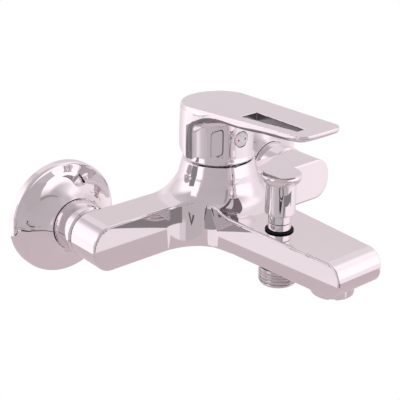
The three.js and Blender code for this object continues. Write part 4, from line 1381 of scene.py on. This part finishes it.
@dataclass
class Lever:
    """The lever on the hub's axis, with the ring below it and the temperature plug."""

    reach: float = 81.0
    root_half: float = 19.8
    tip_half: float = 14.05
    corner: float = 4.5
    bow: float = 0.9
    back_radius: float = 19.9
    back_shift: float = 2.0
    thin: float = 4.6
    belly: float = 5.1
    thick: float = 4.3
    web: float = 4.5
    front: float = 2.6
    bulge: float = 1.1
    bulge_bias: float = 0.6
    bulge_end: float = 2.0
    curl: float = 14.0
    thin_at: float = 24.0
    belly_at: float = 38.0
    thick_at: float = 52.0
    hub_radius: float = 19.6
    foot_radius: float = 20.4
    foot_start: float = 0.8
    foot_height: float = 4.0
    cavity: float = 16.3
    cavity_top: float = 60.5
    rim: float = 35.2
    lift: float = 22.0
    boss: Rod = Rod(7.6, 44.5, 61)
    socket_half: float = 3.8
    socket_top: float = 59.3
    screw_height: float = 49.0
    screw_bore: float = 2.8
    sleeve_radius: float = 5.9
    plug_radius: float = 4.3
    plug_depth: float = 16.7
    plug_inset: float = 0.4
    plug_back: float = 2.6
    plug_crown: float = 0.6
    plug_stem: tuple[float, float] = (2.2, 3.2)
    slot_rear: float = 31.2
    slot_front: float = 70.5
    slot_rear_x: tuple[float, float] = (-11.7, -0.1)
    slot_front_x: tuple[float, float] = (-8.7, -3.3)
    edge: float = 0.45
    lower_edge: float = 1.8
    rim_edge: float = 0.3
    socket_edge: float = 0.1
    bore_edge: float = 0.15
    overlap: float = 20.0
    dome_rim: float = 17.35
    dome_side: float = 14.8
    dome_crest: float = 14.1
    dome_mouth: float = 10.7
    dome_wall: float = 1.0
    dome_seat: float = 33.1
    dome_edge: float = 34.0
    dome_top: float = 38.2
    cell: float = 0.55

    def top_at(self, forward: float) -> float:
        """Height of the top face at a distance in front of the hub's axis."""
        return LEVER_TOP + LEVER_RISE * forward

    def side_outline(self) -> list[tuple[float, float]]:
        """The lever from the side: skirt, curl under the top and the thin long edge.

        Returns:
            Corners of (distance in front of the hub's axis, height).
        """
        rear, far, beyond = -30.0, self.reach + 10, self.reach + 4
        thin = (self.thin_at, self.top_at(self.thin_at) - self.thin)
        thick = (self.thick_at, self.top_at(self.thick_at) - self.thick)
        belly = (self.belly_at, self.top_at(self.belly_at) - 2 * self.belly + self.thin)
        tip = (beyond, self.top_at(beyond) - self.front)
        curl_end = (self.curl, self.top_at(self.curl) - self.thin - 0.4)
        return [
            (rear, self.top_at(rear) + self.overlap),
            (rear, self.rim - self.overlap),
            (0, self.rim - self.overlap),
            *bend((0, LEVER_TOP - self.curl), (1.5, curl_end[1] - 1.5), curl_end, 36),
            *bend(curl_end, ((self.curl + self.thin_at) / 2, thin[1]), thin, 12)[1:],
            *bend(thin, belly, thick, 16)[1:],
            *bend(thick, ((self.thick_at + tip[0]) / 2, thick[1] + 0.2), tip, 16)[1:],
            (far, tip[1] + (far - tip[0]) * LEVER_RISE),
            (far, self.top_at(far) + self.overlap),
        ]

    def plan(self, across: Array, forward: Array) -> Array:
        """Distance to the lever's outline seen from above.

        Args:
            across: Distances from its middle line.
            forward: Distances in front of the hub's axis.

        Returns:
            The signed distance at each place.
        """
        taper = math.atan((self.root_half - self.tip_half) / self.reach)
        side = (across - self.root_half + forward * math.tan(taper)) * math.cos(taper)
        back = np.hypot(across, forward + self.back_shift) - self.back_radius
        behind = forward + self.back_shift < across * math.tan(taper)
        flank = np.where(behind, back, side)
        nose = forward - self.reach + self.bow * (across / self.tip_half) ** 2
        return within(flank, nose, self.corner)

    def outside(self, x: Array, y: Array, z: Array) -> Array:
        """Distance to the blade and the hub below it, solid inside.

        Args:
            x: Places across.
            y: Places towards the wall.
            z: Places upwards.

        Returns:
            The signed distance at each place.
        """
        forward, across = -y, np.abs(x)
        share = np.clip((z - self.rim) / (LEVER_TOP - self.bulge_end - self.rim), 0, 1)
        swell = self.bulge * np.sin(np.pi * share**self.bulge_bias)
        plate = self.plan(across, forward) - swell
        above = (z - LEVER_TOP - LEVER_RISE * forward) / math.hypot(1, LEVER_RISE)
        below = beside(forward, z, self.side_outline())
        blade = within(within(plate, below, self.lower_edge), above, self.edge)
        foot = np.clip((z - self.rim - self.foot_start) / self.foot_height, 0, 1)
        radius = self.foot_radius - (self.foot_radius - self.hub_radius) * foot * (2 - foot)
        barrel = np.maximum(np.hypot(x, y) - radius, z - LEVER_TOP + self.thin)
        lift = math.radians(self.lift)
        under = (self.rim + np.maximum(-forward, 0) * math.tan(lift) - z) * math.cos(lift)
        bottom = np.where(forward > 0, self.rim - z, under)
        return within(joined(blade, barrel, self.web), bottom, self.rim_edge)

    def field(self, x: Array, y: Array, z: Array) -> Array:
        """Distance to the lever with its cavity, socket, screw hole and slot, in its own frame.

        Args:
            x: Places across.
            y: Places towards the wall.
            z: Places upwards.

        Returns:
            The signed distance at each place.
        """
        forward, height = -y, z - self.screw_height
        whole = cut(self.outside(x, y, z), Rod(self.cavity, 0, self.cavity_top).field(z, x, y))
        sleeve = Rod(self.sleeve_radius, 0, self.cavity + 1).field(forward, x, height)
        whole = np.minimum(whole, np.minimum(self.boss.field(z, x, y), sleeve))
        square = np.maximum(np.abs(x), np.abs(y)) - self.socket_half
        whole = cut(whole, np.maximum(square, z - self.socket_top), self.socket_edge)
        for bore in (Rod(self.plug_radius + 0.3, self.plug_depth, 40), Rod(self.screw_bore, 0, 40)):
            whole = cut(whole, bore.field(forward, x, height), self.bore_edge)
        slot = [
            (self.slot_rear_x[0], -self.slot_rear),
            (self.slot_rear_x[1], -self.slot_rear),
            (self.slot_front_x[1], -self.slot_front),
            (self.slot_front_x[0], -self.slot_front),
        ]
        return cut(whole, beside(x, y, slot), self.rim_edge)

    def handle(self) -> None:
        """Makes the chrome lever."""
        half = self.root_half + self.bulge + 0.5
        low = (-half, -self.reach, self.rim)
        high = (half, self.back_radius + self.back_shift + self.bulge, self.top_at(self.reach))
        cell = self.cell
        skin = skinned(self.field, low, high, cell).placed((0, -HUB, 0))
        skin.piece("lever_casting", LeverFinish(), "lever", "lever_handle")

    def plug(self) -> None:
        """Makes the domed temperature plug on the front of the hub."""
        r, rim = self.plug_radius, -self.hub_radius + self.plug_inset
        back, crown = -self.hub_radius + self.plug_back, rim - self.plug_crown
        stem, length = self.plug_stem
        outline = [
            (0, back + length),
            (stem, back + length),
            (stem, back),
            (r, back),
            (r, rim),
            *bend((r - 0.4, rim - self.plug_crown / 2), (r / 2, crown), (0, crown), 10),
        ]
        finish = PlugFinish(centre=(0, 0, self.screw_height))
        skin = turned(outline, radius=0.2, segments=72).laid().placed((0, -HUB, self.screw_height))
        skin.piece("temperature_plug", finish, "lever", "indicator_plug")

    def ring(self) -> None:
        """Makes the thin domed ring that hides the cartridge under the raised lever."""
        side, crest, mouth = self.dome_side, self.dome_crest, self.dome_mouth
        seat, edge, top = self.dome_seat, self.dome_edge, self.dome_top
        wall, under = self.dome_wall, self.dome_top - self.dome_wall
        outline = [
            (self.dome_rim, seat),
            (self.dome_rim, edge),
            *bend((side, edge), (crest, top), (mouth, top), 18),
            *bend((mouth, under), (crest - wall, under), (side - wall, seat), 12),
        ]
        skin = turned(outline, radius=0.25).placed((0, -HUB, 0))
        skin.piece("cartridge_dome", CHROME, "mixer", "trim_dome")

    def build(self) -> None:
        """Makes the lever, its plug and the dome below it."""
        self.handle()
        self.plug()
        self.ring()


@dataclass
class Diverter:
    """Pull knob, bush, seal ring and shower outlet on the diverter's axis."""

    knob_radius: float = 8.15
    neck_radius: float = 6.3
    cap_radius: float = 10.75
    shoulder: float = 20.6
    shoulder_round: float = 1.2
    cap_bottom: float = 38.6
    knob_top: float = 43.9
    knob_play: float = 0.3
    knob_start: float = 1.6
    knob_rings: tuple[float, ...] = (0.0, 0.4, 4.0, 10.0)
    cap_rings: tuple[float, ...] = (0.8, 0.4)
    cap_edge: float = 1.6
    cap_crown: float = 1.7
    shoulder_rise: float = 0.2
    bush_radius: float = 6.3
    bush_bore: float = 2.9
    bush_bottom: float = 11.95
    bush_top: float = 15.8
    pocket_radius: float = 4.55
    pocket_top: float = 14.6
    pocket_wall: float = 5.2
    pocket_low: float = 8.2
    seal_bore: float = 5.5
    seal_centre: tuple[float, float] = (7.4, 11.5)
    seal_round: float = 0.35
    outlet_radius: float = 10.45
    outlet_core: float = 9.85
    outlet_bore: float = 6.2
    outlet_end: float = -19.7
    outlet_shoulder: float = -9.7
    seat_radius: float = 7.9
    seat_top: float = -6.0
    thread_start: float = 0.75
    ridges: Thread = Thread(radius=9.9, length=8.2, turns=4.5, ridge=0.62)

    def knob(self) -> None:
        """Makes the mushroom pull knob."""
        bottom, low, top = self.bush_top + self.knob_play, self.shoulder, self.knob_top
        r, cap, rim = self.knob_radius, self.cap_radius, self.knob_top - self.cap_edge
        small = self.shoulder_round
        outline = [
            (0, bottom),
            (self.neck_radius, bottom),
            (self.neck_radius, low),
            *arc((r - small, low + small + self.shoulder_rise), small, -75, 0, 10),
            *((r, low + self.knob_start + rise) for rise in self.knob_rings),
            *((r, self.cap_bottom - drop) for drop in self.cap_rings),
            *bend((r, self.cap_bottom), (cap - 0.3, self.cap_bottom + 0.6), (cap, rim), 18),
            *bend((cap - 0.02, rim + 0.4), (cap - 0.2, top), (cap - self.cap_crown, top), 12),
            (0, top),
        ]
        skin = turned(outline).placed(DIVERTER)
        skin.piece("pull_knob", CHROME, "diverter", "diverter_knob")

    def bush(self) -> None:
        """Makes the chrome bush that guides the stem, with a pocket for the rising spring."""
        outline = [
            (self.bush_bore, self.pocket_top),
            (self.pocket_radius, self.pocket_top),
            (self.pocket_radius, self.pocket_low),
            (self.pocket_wall, self.pocket_low),
            (self.pocket_wall, self.bush_bottom),
            (self.bush_radius, self.bush_bottom),
            (self.bush_radius, self.bush_top),
            (self.bush_bore, self.bush_top),
        ]
        skin = turned(outline, segments=120).placed(DIVERTER)
        skin.piece("stem_bush", CHROME, "mixer", "diverter_bush")

    def seal(self) -> None:
        """Makes the black rubber ring under the bush."""
        bore, middle, small = self.seal_bore, self.seal_centre[1], self.seal_round
        rim = arc(self.seal_centre, small, -90, 90, 12)
        outline = [(bore, middle - small), *rim, (bore, middle + small)]
        skin = turned(outline, radius=0.15, segments=120).placed(DIVERTER)
        skin.piece("bush_seal", RUBBER, "mixer", "diverter_seal_ring")

    def outlet(self) -> None:
        """Makes the shower outlet's threaded nipple."""
        r, core, bore = self.outlet_radius, self.outlet_core, self.outlet_bore
        end, shoulder = self.outlet_end, self.outlet_shoulder
        outline = [
            (bore, end),
            (core - 0.5, end),
            (core, end + 0.7),
            (core, shoulder - 0.9),
            (r, shoulder - 0.6),
            (r, shoulder),
            (self.seat_radius, shoulder),
            (self.seat_radius, self.seat_top),
            (bore, self.seat_top),
        ]
        skin = turned(outline, radius=0.2, segments=120).placed(DIVERTER)
        skin.piece("shower_nipple", THREAD, "mixer", "shower_outlet_nipple")

    def thread(self) -> None:
        """Makes the ridges of the outlet's G1/2 thread."""
        offset = (DIVERTER[0], DIVERTER[1], self.outlet_end + self.thread_start)
        self.ridges.piece("outlet_thread", THREAD, offset)

    def build(self) -> None:
        """Makes every visible piece on the diverter's axis."""
        self.knob()
        self.bush()
        self.seal()
        self.outlet()
        self.thread()


@dataclass
class Aerator:
    """Notched chrome shell and the flow straightener in it."""

    radius: float = 11.4
    bottom: float = -13.9
    lip: float = 1.2
    shoulder: float = -8.8
    shank_radius: float = 10.6
    shank_top: float = -3.6
    bore: float = 9.3
    mouth: float = 8.2
    notch_turn: float = -46.0
    notch_half: float = 1.7
    notch_height: float = 1.8
    notch_depth: float = 1.2
    core_radius: float = 9.0
    core_bottom: float = -11.2
    ribs: int = 11
    ribs_radius: float = 8.1
    ribs_wall: float = 0.35
    ribs_height: float = 1.5
    ribs_at: float = -11.9
    rim_edge: float = 0.6
    mouth_edge: float = 0.4
    edge: float = 0.2
    cell: float = 0.32

    def field(self, x: Array, y: Array, z: Array) -> Array:
        """Distance to the shell, in its own frame.

        Args:
            x: Places across.
            y: Places towards the wall.
            z: Places upwards.

        Returns:
            The signed distance at each place.
        """
        r = np.hypot(x, y)
        rim = within(r - self.radius, np.maximum(self.bottom - z, z - self.shoulder), self.rim_edge)
        height = np.maximum(self.shoulder - 1 - z, z - self.shank_top)
        whole = np.minimum(rim, np.maximum(r - self.shank_radius, height))
        whole = cut(whole, np.maximum(r - self.bore, self.bottom + self.lip - z), self.edge)
        whole = cut(whole, r - self.mouth, self.mouth_edge)
        for turn in (self.notch_turn, self.notch_turn + 180):
            angle = math.radians(turn)
            across = x * math.cos(angle) + y * math.sin(angle)
            outward = x * math.sin(angle) - y * math.cos(angle)
            above = z - self.bottom - self.notch_height
            notch = np.maximum(np.abs(across) - self.notch_half, above)
            deeper = self.radius - self.notch_depth - outward
            whole = cut(whole, np.maximum(notch, deeper), self.edge)
        return whole

    def shell(self) -> None:
        """Makes the chrome shell with the two notches for its key."""
        low = (-self.radius, -self.radius, self.bottom)
        high = (self.radius, self.radius, self.shank_top)
        cell = self.cell
        skin = skinned(self.field, low, high, cell).placed(AERATOR)
        skin.piece("aerator_ring", CHROME, "mixer", "aerator_shell")

    def insert(self) -> None:
        """Makes the plastic cartridge that fills the shell."""
        r, low, high = self.core_radius, self.core_bottom, self.shank_top
        outline = [(0, low), (r, low), (r, high), (0, high)]
        skin = turned(outline, segments=96).placed(AERATOR)
        skin.piece("straightener_core", ACETAL, "mixer", "aerator_insert")

    def lattice(self) -> None:
        """Makes the crossed ribs of the flow straightener's face."""
        sockets = {
            "Radius": "NodeSocketFloat",
            "Ribs": "NodeSocketInt",
            "Wall": "NodeSocketFloat",
            "Height": "NodeSocketFloat",
        }
        values = {
            "Radius": self.ribs_radius * MM,
            "Ribs": self.ribs,
            "Wall": self.ribs_wall * MM,
            "Height": self.ribs_height * MM,
            "Material": ACETAL.material(),
        }
        tree = pattern_tree("round lattice", sockets, round_lattice)
        offset = (AERATOR[0], AERATOR[1], self.ribs_at)
        settled(baked("straightener_ribs", tree, values, offset), "mixer", ACETAL.slot)

    def build(self) -> None:
        """Makes the shell, the insert and its ribs."""
        self.shell()
        self.insert()
        self.lattice()


HIDDEN_FINISHES: dict[Finish, tuple[str, ...]] = {
    BRASS: (
        "cartridge_nut",
        "spindle",
        "diverter_upper_seat",
        "diverter_stem",
        "diverter_valve_disc",
    ),
    STEEL: ("pivot_pin", "lever_set_screw", "diverter_spring"),
    CERAMIC: ("fixed_ceramic_disc", "moving_ceramic_disc"),
    ACETAL: ("cartridge_base", "cartridge_housing", "cartridge_turret", "disc_carrier"),
    RUBBER: (
        "cartridge_base_seal",
        "diverter_valve_seal",
        "aerator_gasket",
        "inlet_filter_washer_left",
        "inlet_filter_washer_right",
    ),
}


@dataclass
class HiddenWorks:
    """The pieces whose CAD shape is right, which only take their finish."""

    finishes: dict[Finish, tuple[str, ...]] = field(default_factory=lambda: HIDDEN_FINISHES)

    def build(self, nodes: dict[str, bpy.types.Object]) -> None:
        """Gives each CAD node its finish.

        Args:
            nodes: The frame's CAD nodes by name.
        """
        for finish, names in self.finishes.items():
            for name in names:
                mesh = nodes[name].data
                if not mesh.materials:
                    mesh.materials.append(finish.material())
                for i in range(len(mesh.materials)):
                    mesh.materials[i] = finish.material()
                log.info("%s dressed as %s", name, finish.name)


# ------------------------------------------------------------------ studio


@dataclass(frozen=True)
class Card:
    """A soft panel of the studio, as it shows in polished metal.

    Azimuth runs from straight out of the wall towards +X, and both angles are in degrees.
    """

    name: str
    azimuth: float
    elevation: float
    half_width: float
    half_height: float
    soft: float
    shade: float


@dataclass(frozen=True)
class Screen:
    """A round upright screen that strips hang on, by its centre and radius in mm."""

    centre: tuple[float, float]
    radius: float


@dataclass(frozen=True)
class Hanging:
    """A strip hung near the object, dark or pale, seen in polished metal only.

    Its two edges are pairs of azimuth in degrees and height in mm, on a round screen.
    """

    name: str
    first: Outline
    second: Outline
    shade: float
    closed: bool = False
    screen: Screen = Screen((0.0, -80.0), 600.0)


def loop(
    azimuth: float, height: float, half_width: float, half_height: float, square: float
) -> Outline:
    """An oval on the screen.

    Args:
        azimuth: Azimuth of its centre.
        height: Height of its centre.
        half_width: Half its width, in degrees.
        half_height: Half its height, in mm.
        square: From round (2) to nearly square (8).

    Returns:
        Its points, in order.
    """
    points = []
    for x, y in arc((0, 0), 1, 0, 360, 72)[:-1]:
        stretch = (abs(x) ** square + abs(y) ** square) ** (-1 / square)
        points.append((azimuth + half_width * x * stretch, height + half_height * y * stretch))
    return points


# Shade around the horizon: pairs of azimuth and shade, joined by straight lines.
LEVEL_BAND: Outline = (
    (-180, 0.78),
    (-162, 0.95),
    (-146, 1.28),
    (-90, 1.28),
    (-82, 0.56),
    (-14, 0.53),
    (4, 1.28),
    (56, 1.28),
    (70, 0.97),
    (96, 0.93),
    (110, 0.77),
    (150, 0.77),
    (164, 1.0),
    (180, 0.78),
)
LOW_BAND: Outline = (
    (-180, 0.9),
    (-150, 1.25),
    (-116, 1.05),
    (-100, 0.68),
    (-76, 0.56),
    (8, 0.54),
    (22, 1.0),
    (60, 1.05),
    (110, 0.82),
    (150, 0.8),
    (180, 0.9),
)
HIGH_BAND: Outline = (
    (-180, 0.66),
    (-120, 0.58),
    (-80, 0.57),
    (0, 0.55),
    (20, 0.70),
    (40, 0.88),
    (60, 1.15),
    (78, 1.2),
    (92, 0.98),
    (112, 0.95),
    (150, 0.92),
    (180, 0.68),
)
CARDS: tuple[Card, ...] = (
    Card("left softbox", -99, 30, 12, 18, 8, 1.28),
    Card("left rear flag", -115.5, 4, 10.5, 13, 2, 0.27),
    Card("tall strip", -16, 36, 3.5, 26, 4, 0.36),
    Card("bright skyline", -119, -26.5, 25, 2.2, 3.0, 0.95),
    Card("bright skyline in front", 40, -25.6, 50, 1.2, 0.2, 0.93),
    Card("pale skyline in front", -18, -25.9, 9, 1.2, 0.4, 0.76),
    Card("pale ceiling", 138, 41, 44, 13, 7, 0.88),
)

FLANGE_SCREEN = Screen((-97.0, -11.0), 67.0)
BAR = range(-20, 40, 2)
PANEL = (
    *(-140, -137, -134, -131, -128.5, -126.5, -123, -119),
    *(-117, -113, -109, -105, -100, -95, -90, -85),
)
VEILS = (
    ("veil left", range(-18, 22, 3), 38, 0, 0.52),
    ("veil middle", range(21, 37, 3), 36, 12, 0.6),
)
HANGINGS: tuple[Hanging, ...] = (
    Hanging("frame", loop(-47.2, -174, 21.3, 16.6, 7), loop(-48.4, -174, 18.6, 15.4, 7), 0.1, True),
    Hanging("ring", loop(-39, -204, 16, 8.5, 2.5), loop(-38.5, -203.5, 9, 6.3, 2.5), 0.1, True),
    Hanging(
        "rod",
        ((-52, -209), (-49, -226), (-43, -231)),
        ((-28, -209), (-36, -226), (-43, -231)),
        0.05,
    ),
    Hanging("left stroke", ((-56, -260), (-47.5, -276)), ((-51, -260), (-46.5, -271)), 0.12),
    Hanging("right stroke", ((-43, -260), (-47.5, -271)), ((-38, -260), (-46.5, -276)), 0.12),
    Hanging("bar", [(a, -206) for a in BAR], [(a, -287 - 0.37 * a) for a in BAR], 0.25),
    Hanging(
        "left panel",
        [(a, -245 if a > -118 else -259) for a in PANEL],
        [(a, -272 if a > -127 else -275) for a in PANEL],
        0.33,
    ),
    Hanging(
        "wire",
        ((-90, -33.8), (-80, -34.8), (-64, -34), (-38, -33.4), (-13, -31.5), (-4, -31)),
        ((-90, -37.4), (-80, -38.2), (-64, -37.4), (-38, -36.8), (-13, -34.5), (-4, -33)),
        0.06,
        screen=FLANGE_SCREEN,
    ),
    Hanging(
        "pale flag",
        ((-16, -10), (-3, -10), (10, -10)),
        ((-16, -28), (-3, -28), (10, -28)),
        0.56,
        screen=FLANGE_SCREEN,
    ),
    *(
        Hanging(
            name,
            [(a, top) for a in across],
            [(a, bottom) for a in across],
            shade,
            screen=FLANGE_SCREEN,
        )
        for name, across, top, bottom, shade in VEILS
    ),
)

# Tint of what polished metal shows, plain light on everything else, and the eye's white.
TINT = (1.035, 0.955, 0.985)
PLAIN_LIGHT = (0.97, 0.94, 0.96)
WHITE = (1.0, 1.0, 1.0)
OVERHEAD = 0.64

# Elevations in degrees between which one band gives way to the next.
LOW_TO_LEVEL = (-9, 1)
LEVEL_TO_HIGH = (27, 42)
HIGH_TO_OVERHEAD = (60, 80)


@dataclass
class Studio:
    """Pale floor, plain surroundings with soft cards, and the camera."""

    azimuth: float = -39.50
    elevation: float = 23.53
    roll: float = 0.32
    eye: Place = (-347.0, -456.9, 238.1)
    lens: float = 90.0
    sensor: float = 36.0
    clip_start: float = 10.0
    floor_height: float = -500.0
    floor_corner: float = 1080.0
    floor_front: float = 901.0
    floor_side: float = 768.0
    floor_near: Colour = (0.69, 0.61, 0.62)
    floor_far: Colour = (0.66, 0.59, 0.60)
    floor_fade: tuple[float, float] = (0.2, 0.9)
    floor_roughness: float = 0.9
    floor_shine: float = 0.1
    cards: tuple[Card, ...] = CARDS
    hangings: tuple[Hanging, ...] = HANGINGS

    def camera(self) -> None:
        """Makes the camera at the viewing angle."""
        a, e, r = (math.radians(v) for v in (self.azimuth, self.elevation, self.roll))
        back = Vector((math.sin(a) * math.cos(e), -math.cos(a) * math.cos(e), math.sin(e)))
        right = Vector((math.cos(a), math.sin(a), 0))
        up = back.cross(right)
        right, up = (
            right * math.cos(r) + up * math.sin(r),
            up * math.cos(r) - right * math.sin(r),
        )
        data = bpy.data.cameras.new("camera")
        data.lens = self.lens
        data.sensor_width = self.sensor
        data.clip_start = self.clip_start * MM
        eye = shown("camera", data)
        turn = Matrix((right, up, back)).transposed().to_4x4()
        eye.matrix_world = Matrix.Translation(Vector(self.eye) * MM) @ turn
        bpy.context.scene.camera = eye

    def floor(self) -> None:
        """Makes the pale floor, white to the eye, soft grey in metal and clear from below."""
        corner, front, side = self.floor_corner, self.floor_front, self.floor_side
        outline = [(-side, side), (-side, side / 2), *arc((0, 0), corner, 183, 288, 105)]
        outline += [(front / 2, -front), (side, -front), (corner, 0), (corner, side)]
        rim = [(x * MM, y * MM, self.floor_height * MM) for x, y in outline]
        mesh = bpy.data.meshes.new("floor")
        mesh.from_pydata(rim, [], [tuple(range(len(rim)))])
        mesh.materials.append(self.floor_material())
        plane = shown("floor", mesh)

    def floor_material(self) -> bpy.types.Material:
        """The floor's material.

        Returns:
            A pale matt surface that the camera sees as white and that has no back.
        """
        made, wiring = new_material("floor")
        nodes, tool = made.node_tree.nodes, wiring.math
        place = wiring.split(wiring.node("ShaderNodeTexCoord").outputs["Object"])
        wide, long = (tool("MULTIPLY", place[axis], place[axis]) for axis in "XY")
        away = wiring.step(tool("SQRT", tool("ADD", wide, long)), *self.floor_fade)
        look = {
            "Base Color": wiring.tint(away, self.floor_near, self.floor_far),
            "Roughness": self.floor_roughness,
            "Specular IOR Level": self.floor_shine,
        }
        surface = nodes["Principled BSDF"]
        wiring.feed(surface, look)
        white = wiring.node("ShaderNodeEmission", {"Strength": 1}).outputs["Emission"]
        seen = wiring.node("ShaderNodeLightPath").outputs["Is Camera Ray"]
        face = wiring.choice(seen, surface.outputs["BSDF"], white)
        behind = wiring.node("ShaderNodeNewGeometry").outputs["Backfacing"]
        clear = wiring.node("ShaderNodeBsdfTransparent").outputs["BSDF"]
        sided = wiring.choice(behind, face, clear)
        wiring.feed(nodes["Material Output"], {"Surface": sided})
        return made

    def hang(self, shape: Hanging) -> None:
        """Hangs one strip on its round screen.

        Args:
            shape: The strip.
        """
        screen, count = shape.screen, len(shape.first)
        points = []
        for azimuth, height in (*shape.first, *shape.second):
            a = math.radians(azimuth)
            x = screen.centre[0] + screen.radius * math.sin(a)
            y = screen.centre[1] - screen.radius * math.cos(a)
            points.append((x * MM, y * MM, height * MM))
        last = count if shape.closed else count - 1
        faces = [(i, (i + 1) % count, count + (i + 1) % count, count + i) for i in range(last)]
        mesh = bpy.data.meshes.new(shape.name)
        mesh.from_pydata(points, [], faces)
        made, wiring = new_material(shape.name)
        nodes = made.node_tree.nodes
        nodes.remove(nodes["Principled BSDF"])
        paint = {"Color": (*(shape.shade * c for c in TINT), 1)}
        flat = wiring.node("ShaderNodeEmission", paint).outputs["Emission"]
        clear = wiring.node("ShaderNodeBsdfTransparent").outputs["BSDF"]
        glossy = wiring.node("ShaderNodeLightPath").outputs["Is Glossy Ray"]
        wiring.feed(nodes["Material Output"], {"Surface": wiring.choice(glossy, clear, flat)})
        mesh.materials.append(made)
        piece = shown(shape.name, mesh)

    def mirrored(self, wiring: Wiring) -> Socket:
        """What polished metal shows of the surroundings: three bands and the soft cards.

        Args:
            wiring: The world's wiring.

        Returns:
            The shade in each direction.
        """
        tool = wiring.math
        place = wiring.split(wiring.node("ShaderNodeTexCoord").outputs["Generated"])
        ahead = tool("MULTIPLY", place["Y"], -1.0)
        azimuth = tool("DEGREES", tool("ARCTAN2", place["X"], ahead))
        elevation = tool("DEGREES", tool("ARCSINE", place["Z"]))
        around = tool("MULTIPLY_ADD", azimuth, 1 / 360, 0.5)
        low, level, high = (
            wiring.curve(around, [(turn / 360 + 0.5, shade) for turn, shade in stops], 2)
            for stops in (LOW_BAND, LEVEL_BAND, HIGH_BAND)
        )
        shade = wiring.blend(wiring.step(elevation, *LOW_TO_LEVEL), low, level)
        shade = wiring.blend(wiring.step(elevation, *LEVEL_TO_HIGH), shade, high)
        shade = wiring.blend(wiring.step(elevation, *HIGH_TO_OVERHEAD), shade, OVERHEAD)
        for card in self.cards:
            over = tool("WRAP", tool("SUBTRACT", azimuth, card.azimuth), 180.0, -180.0)
            rise = tool("SUBTRACT", elevation, card.elevation)
            sideways = tool("SUBTRACT", tool("ABSOLUTE", over), card.half_width)
            upright = tool("SUBTRACT", tool("ABSOLUTE", rise), card.half_height)
            beyond = tool("MAXIMUM", sideways, upright)
            mask = wiring.step(beyond, card.soft / 2, -card.soft / 2)
            shade = wiring.blend(mask, shade, card.shade)
        return shade

    def surroundings(self) -> None:
        """Makes the world: white to the eye, cards in polished metal, plain light elsewhere."""
        world = bpy.data.worlds.new("studio")
        world.use_nodes = True
        bpy.context.scene.world = world
        nodes, wiring = world.node_tree.nodes, Wiring(world.node_tree)
        shade, tool = self.mirrored(wiring), wiring.math
        channels = {
            channel: tool("MULTIPLY", shade, amount)
            for channel, amount in zip(("Red", "Green", "Blue"), TINT)
        }
        tinted = wiring.node("ShaderNodeCombineColor", channels).outputs["Color"]
        path = wiring.node("ShaderNodeLightPath").outputs
        colour = wiring.tint(path["Is Camera Ray"], tinted, WHITE)
        wiring.feed(nodes["Background"], {"Color": colour})
        light = wiring.node("ShaderNodeBackground", {"Color": (*PLAIN_LIGHT, 1)})
        direct = tool("ADD", path["Is Glossy Ray"], path["Is Transmission Ray"])
        direct = tool("ADD", direct, path["Is Camera Ray"])
        shown_light = nodes["Background"].outputs["Background"]
        mixed = wiring.choice(direct, light.outputs["Background"], shown_light)
        wiring.feed(nodes["World Output"], {"Surface": mixed})

    def build(self) -> None:
        """Makes the studio."""
        bpy.context.scene.view_settings.view_transform = "Standard"
        self.camera()
        self.floor()
        for shape in self.hangings:
            self.hang(shape)
        self.surroundings()


def main() -> None:
    """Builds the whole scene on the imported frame."""
    logging.basicConfig(level=logging.INFO, format="%(name)s: %(message)s")
    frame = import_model()
    WallConnection("left", -INLET).build()
    WallConnection("right", INLET).build()
    BodyCasting().build()
    Lever().build()
    Diverter().build()
    Aerator().build()
    HiddenWorks().build(frame["nodes"])
    Studio().build()


if __name__ == "__main__":
    main()
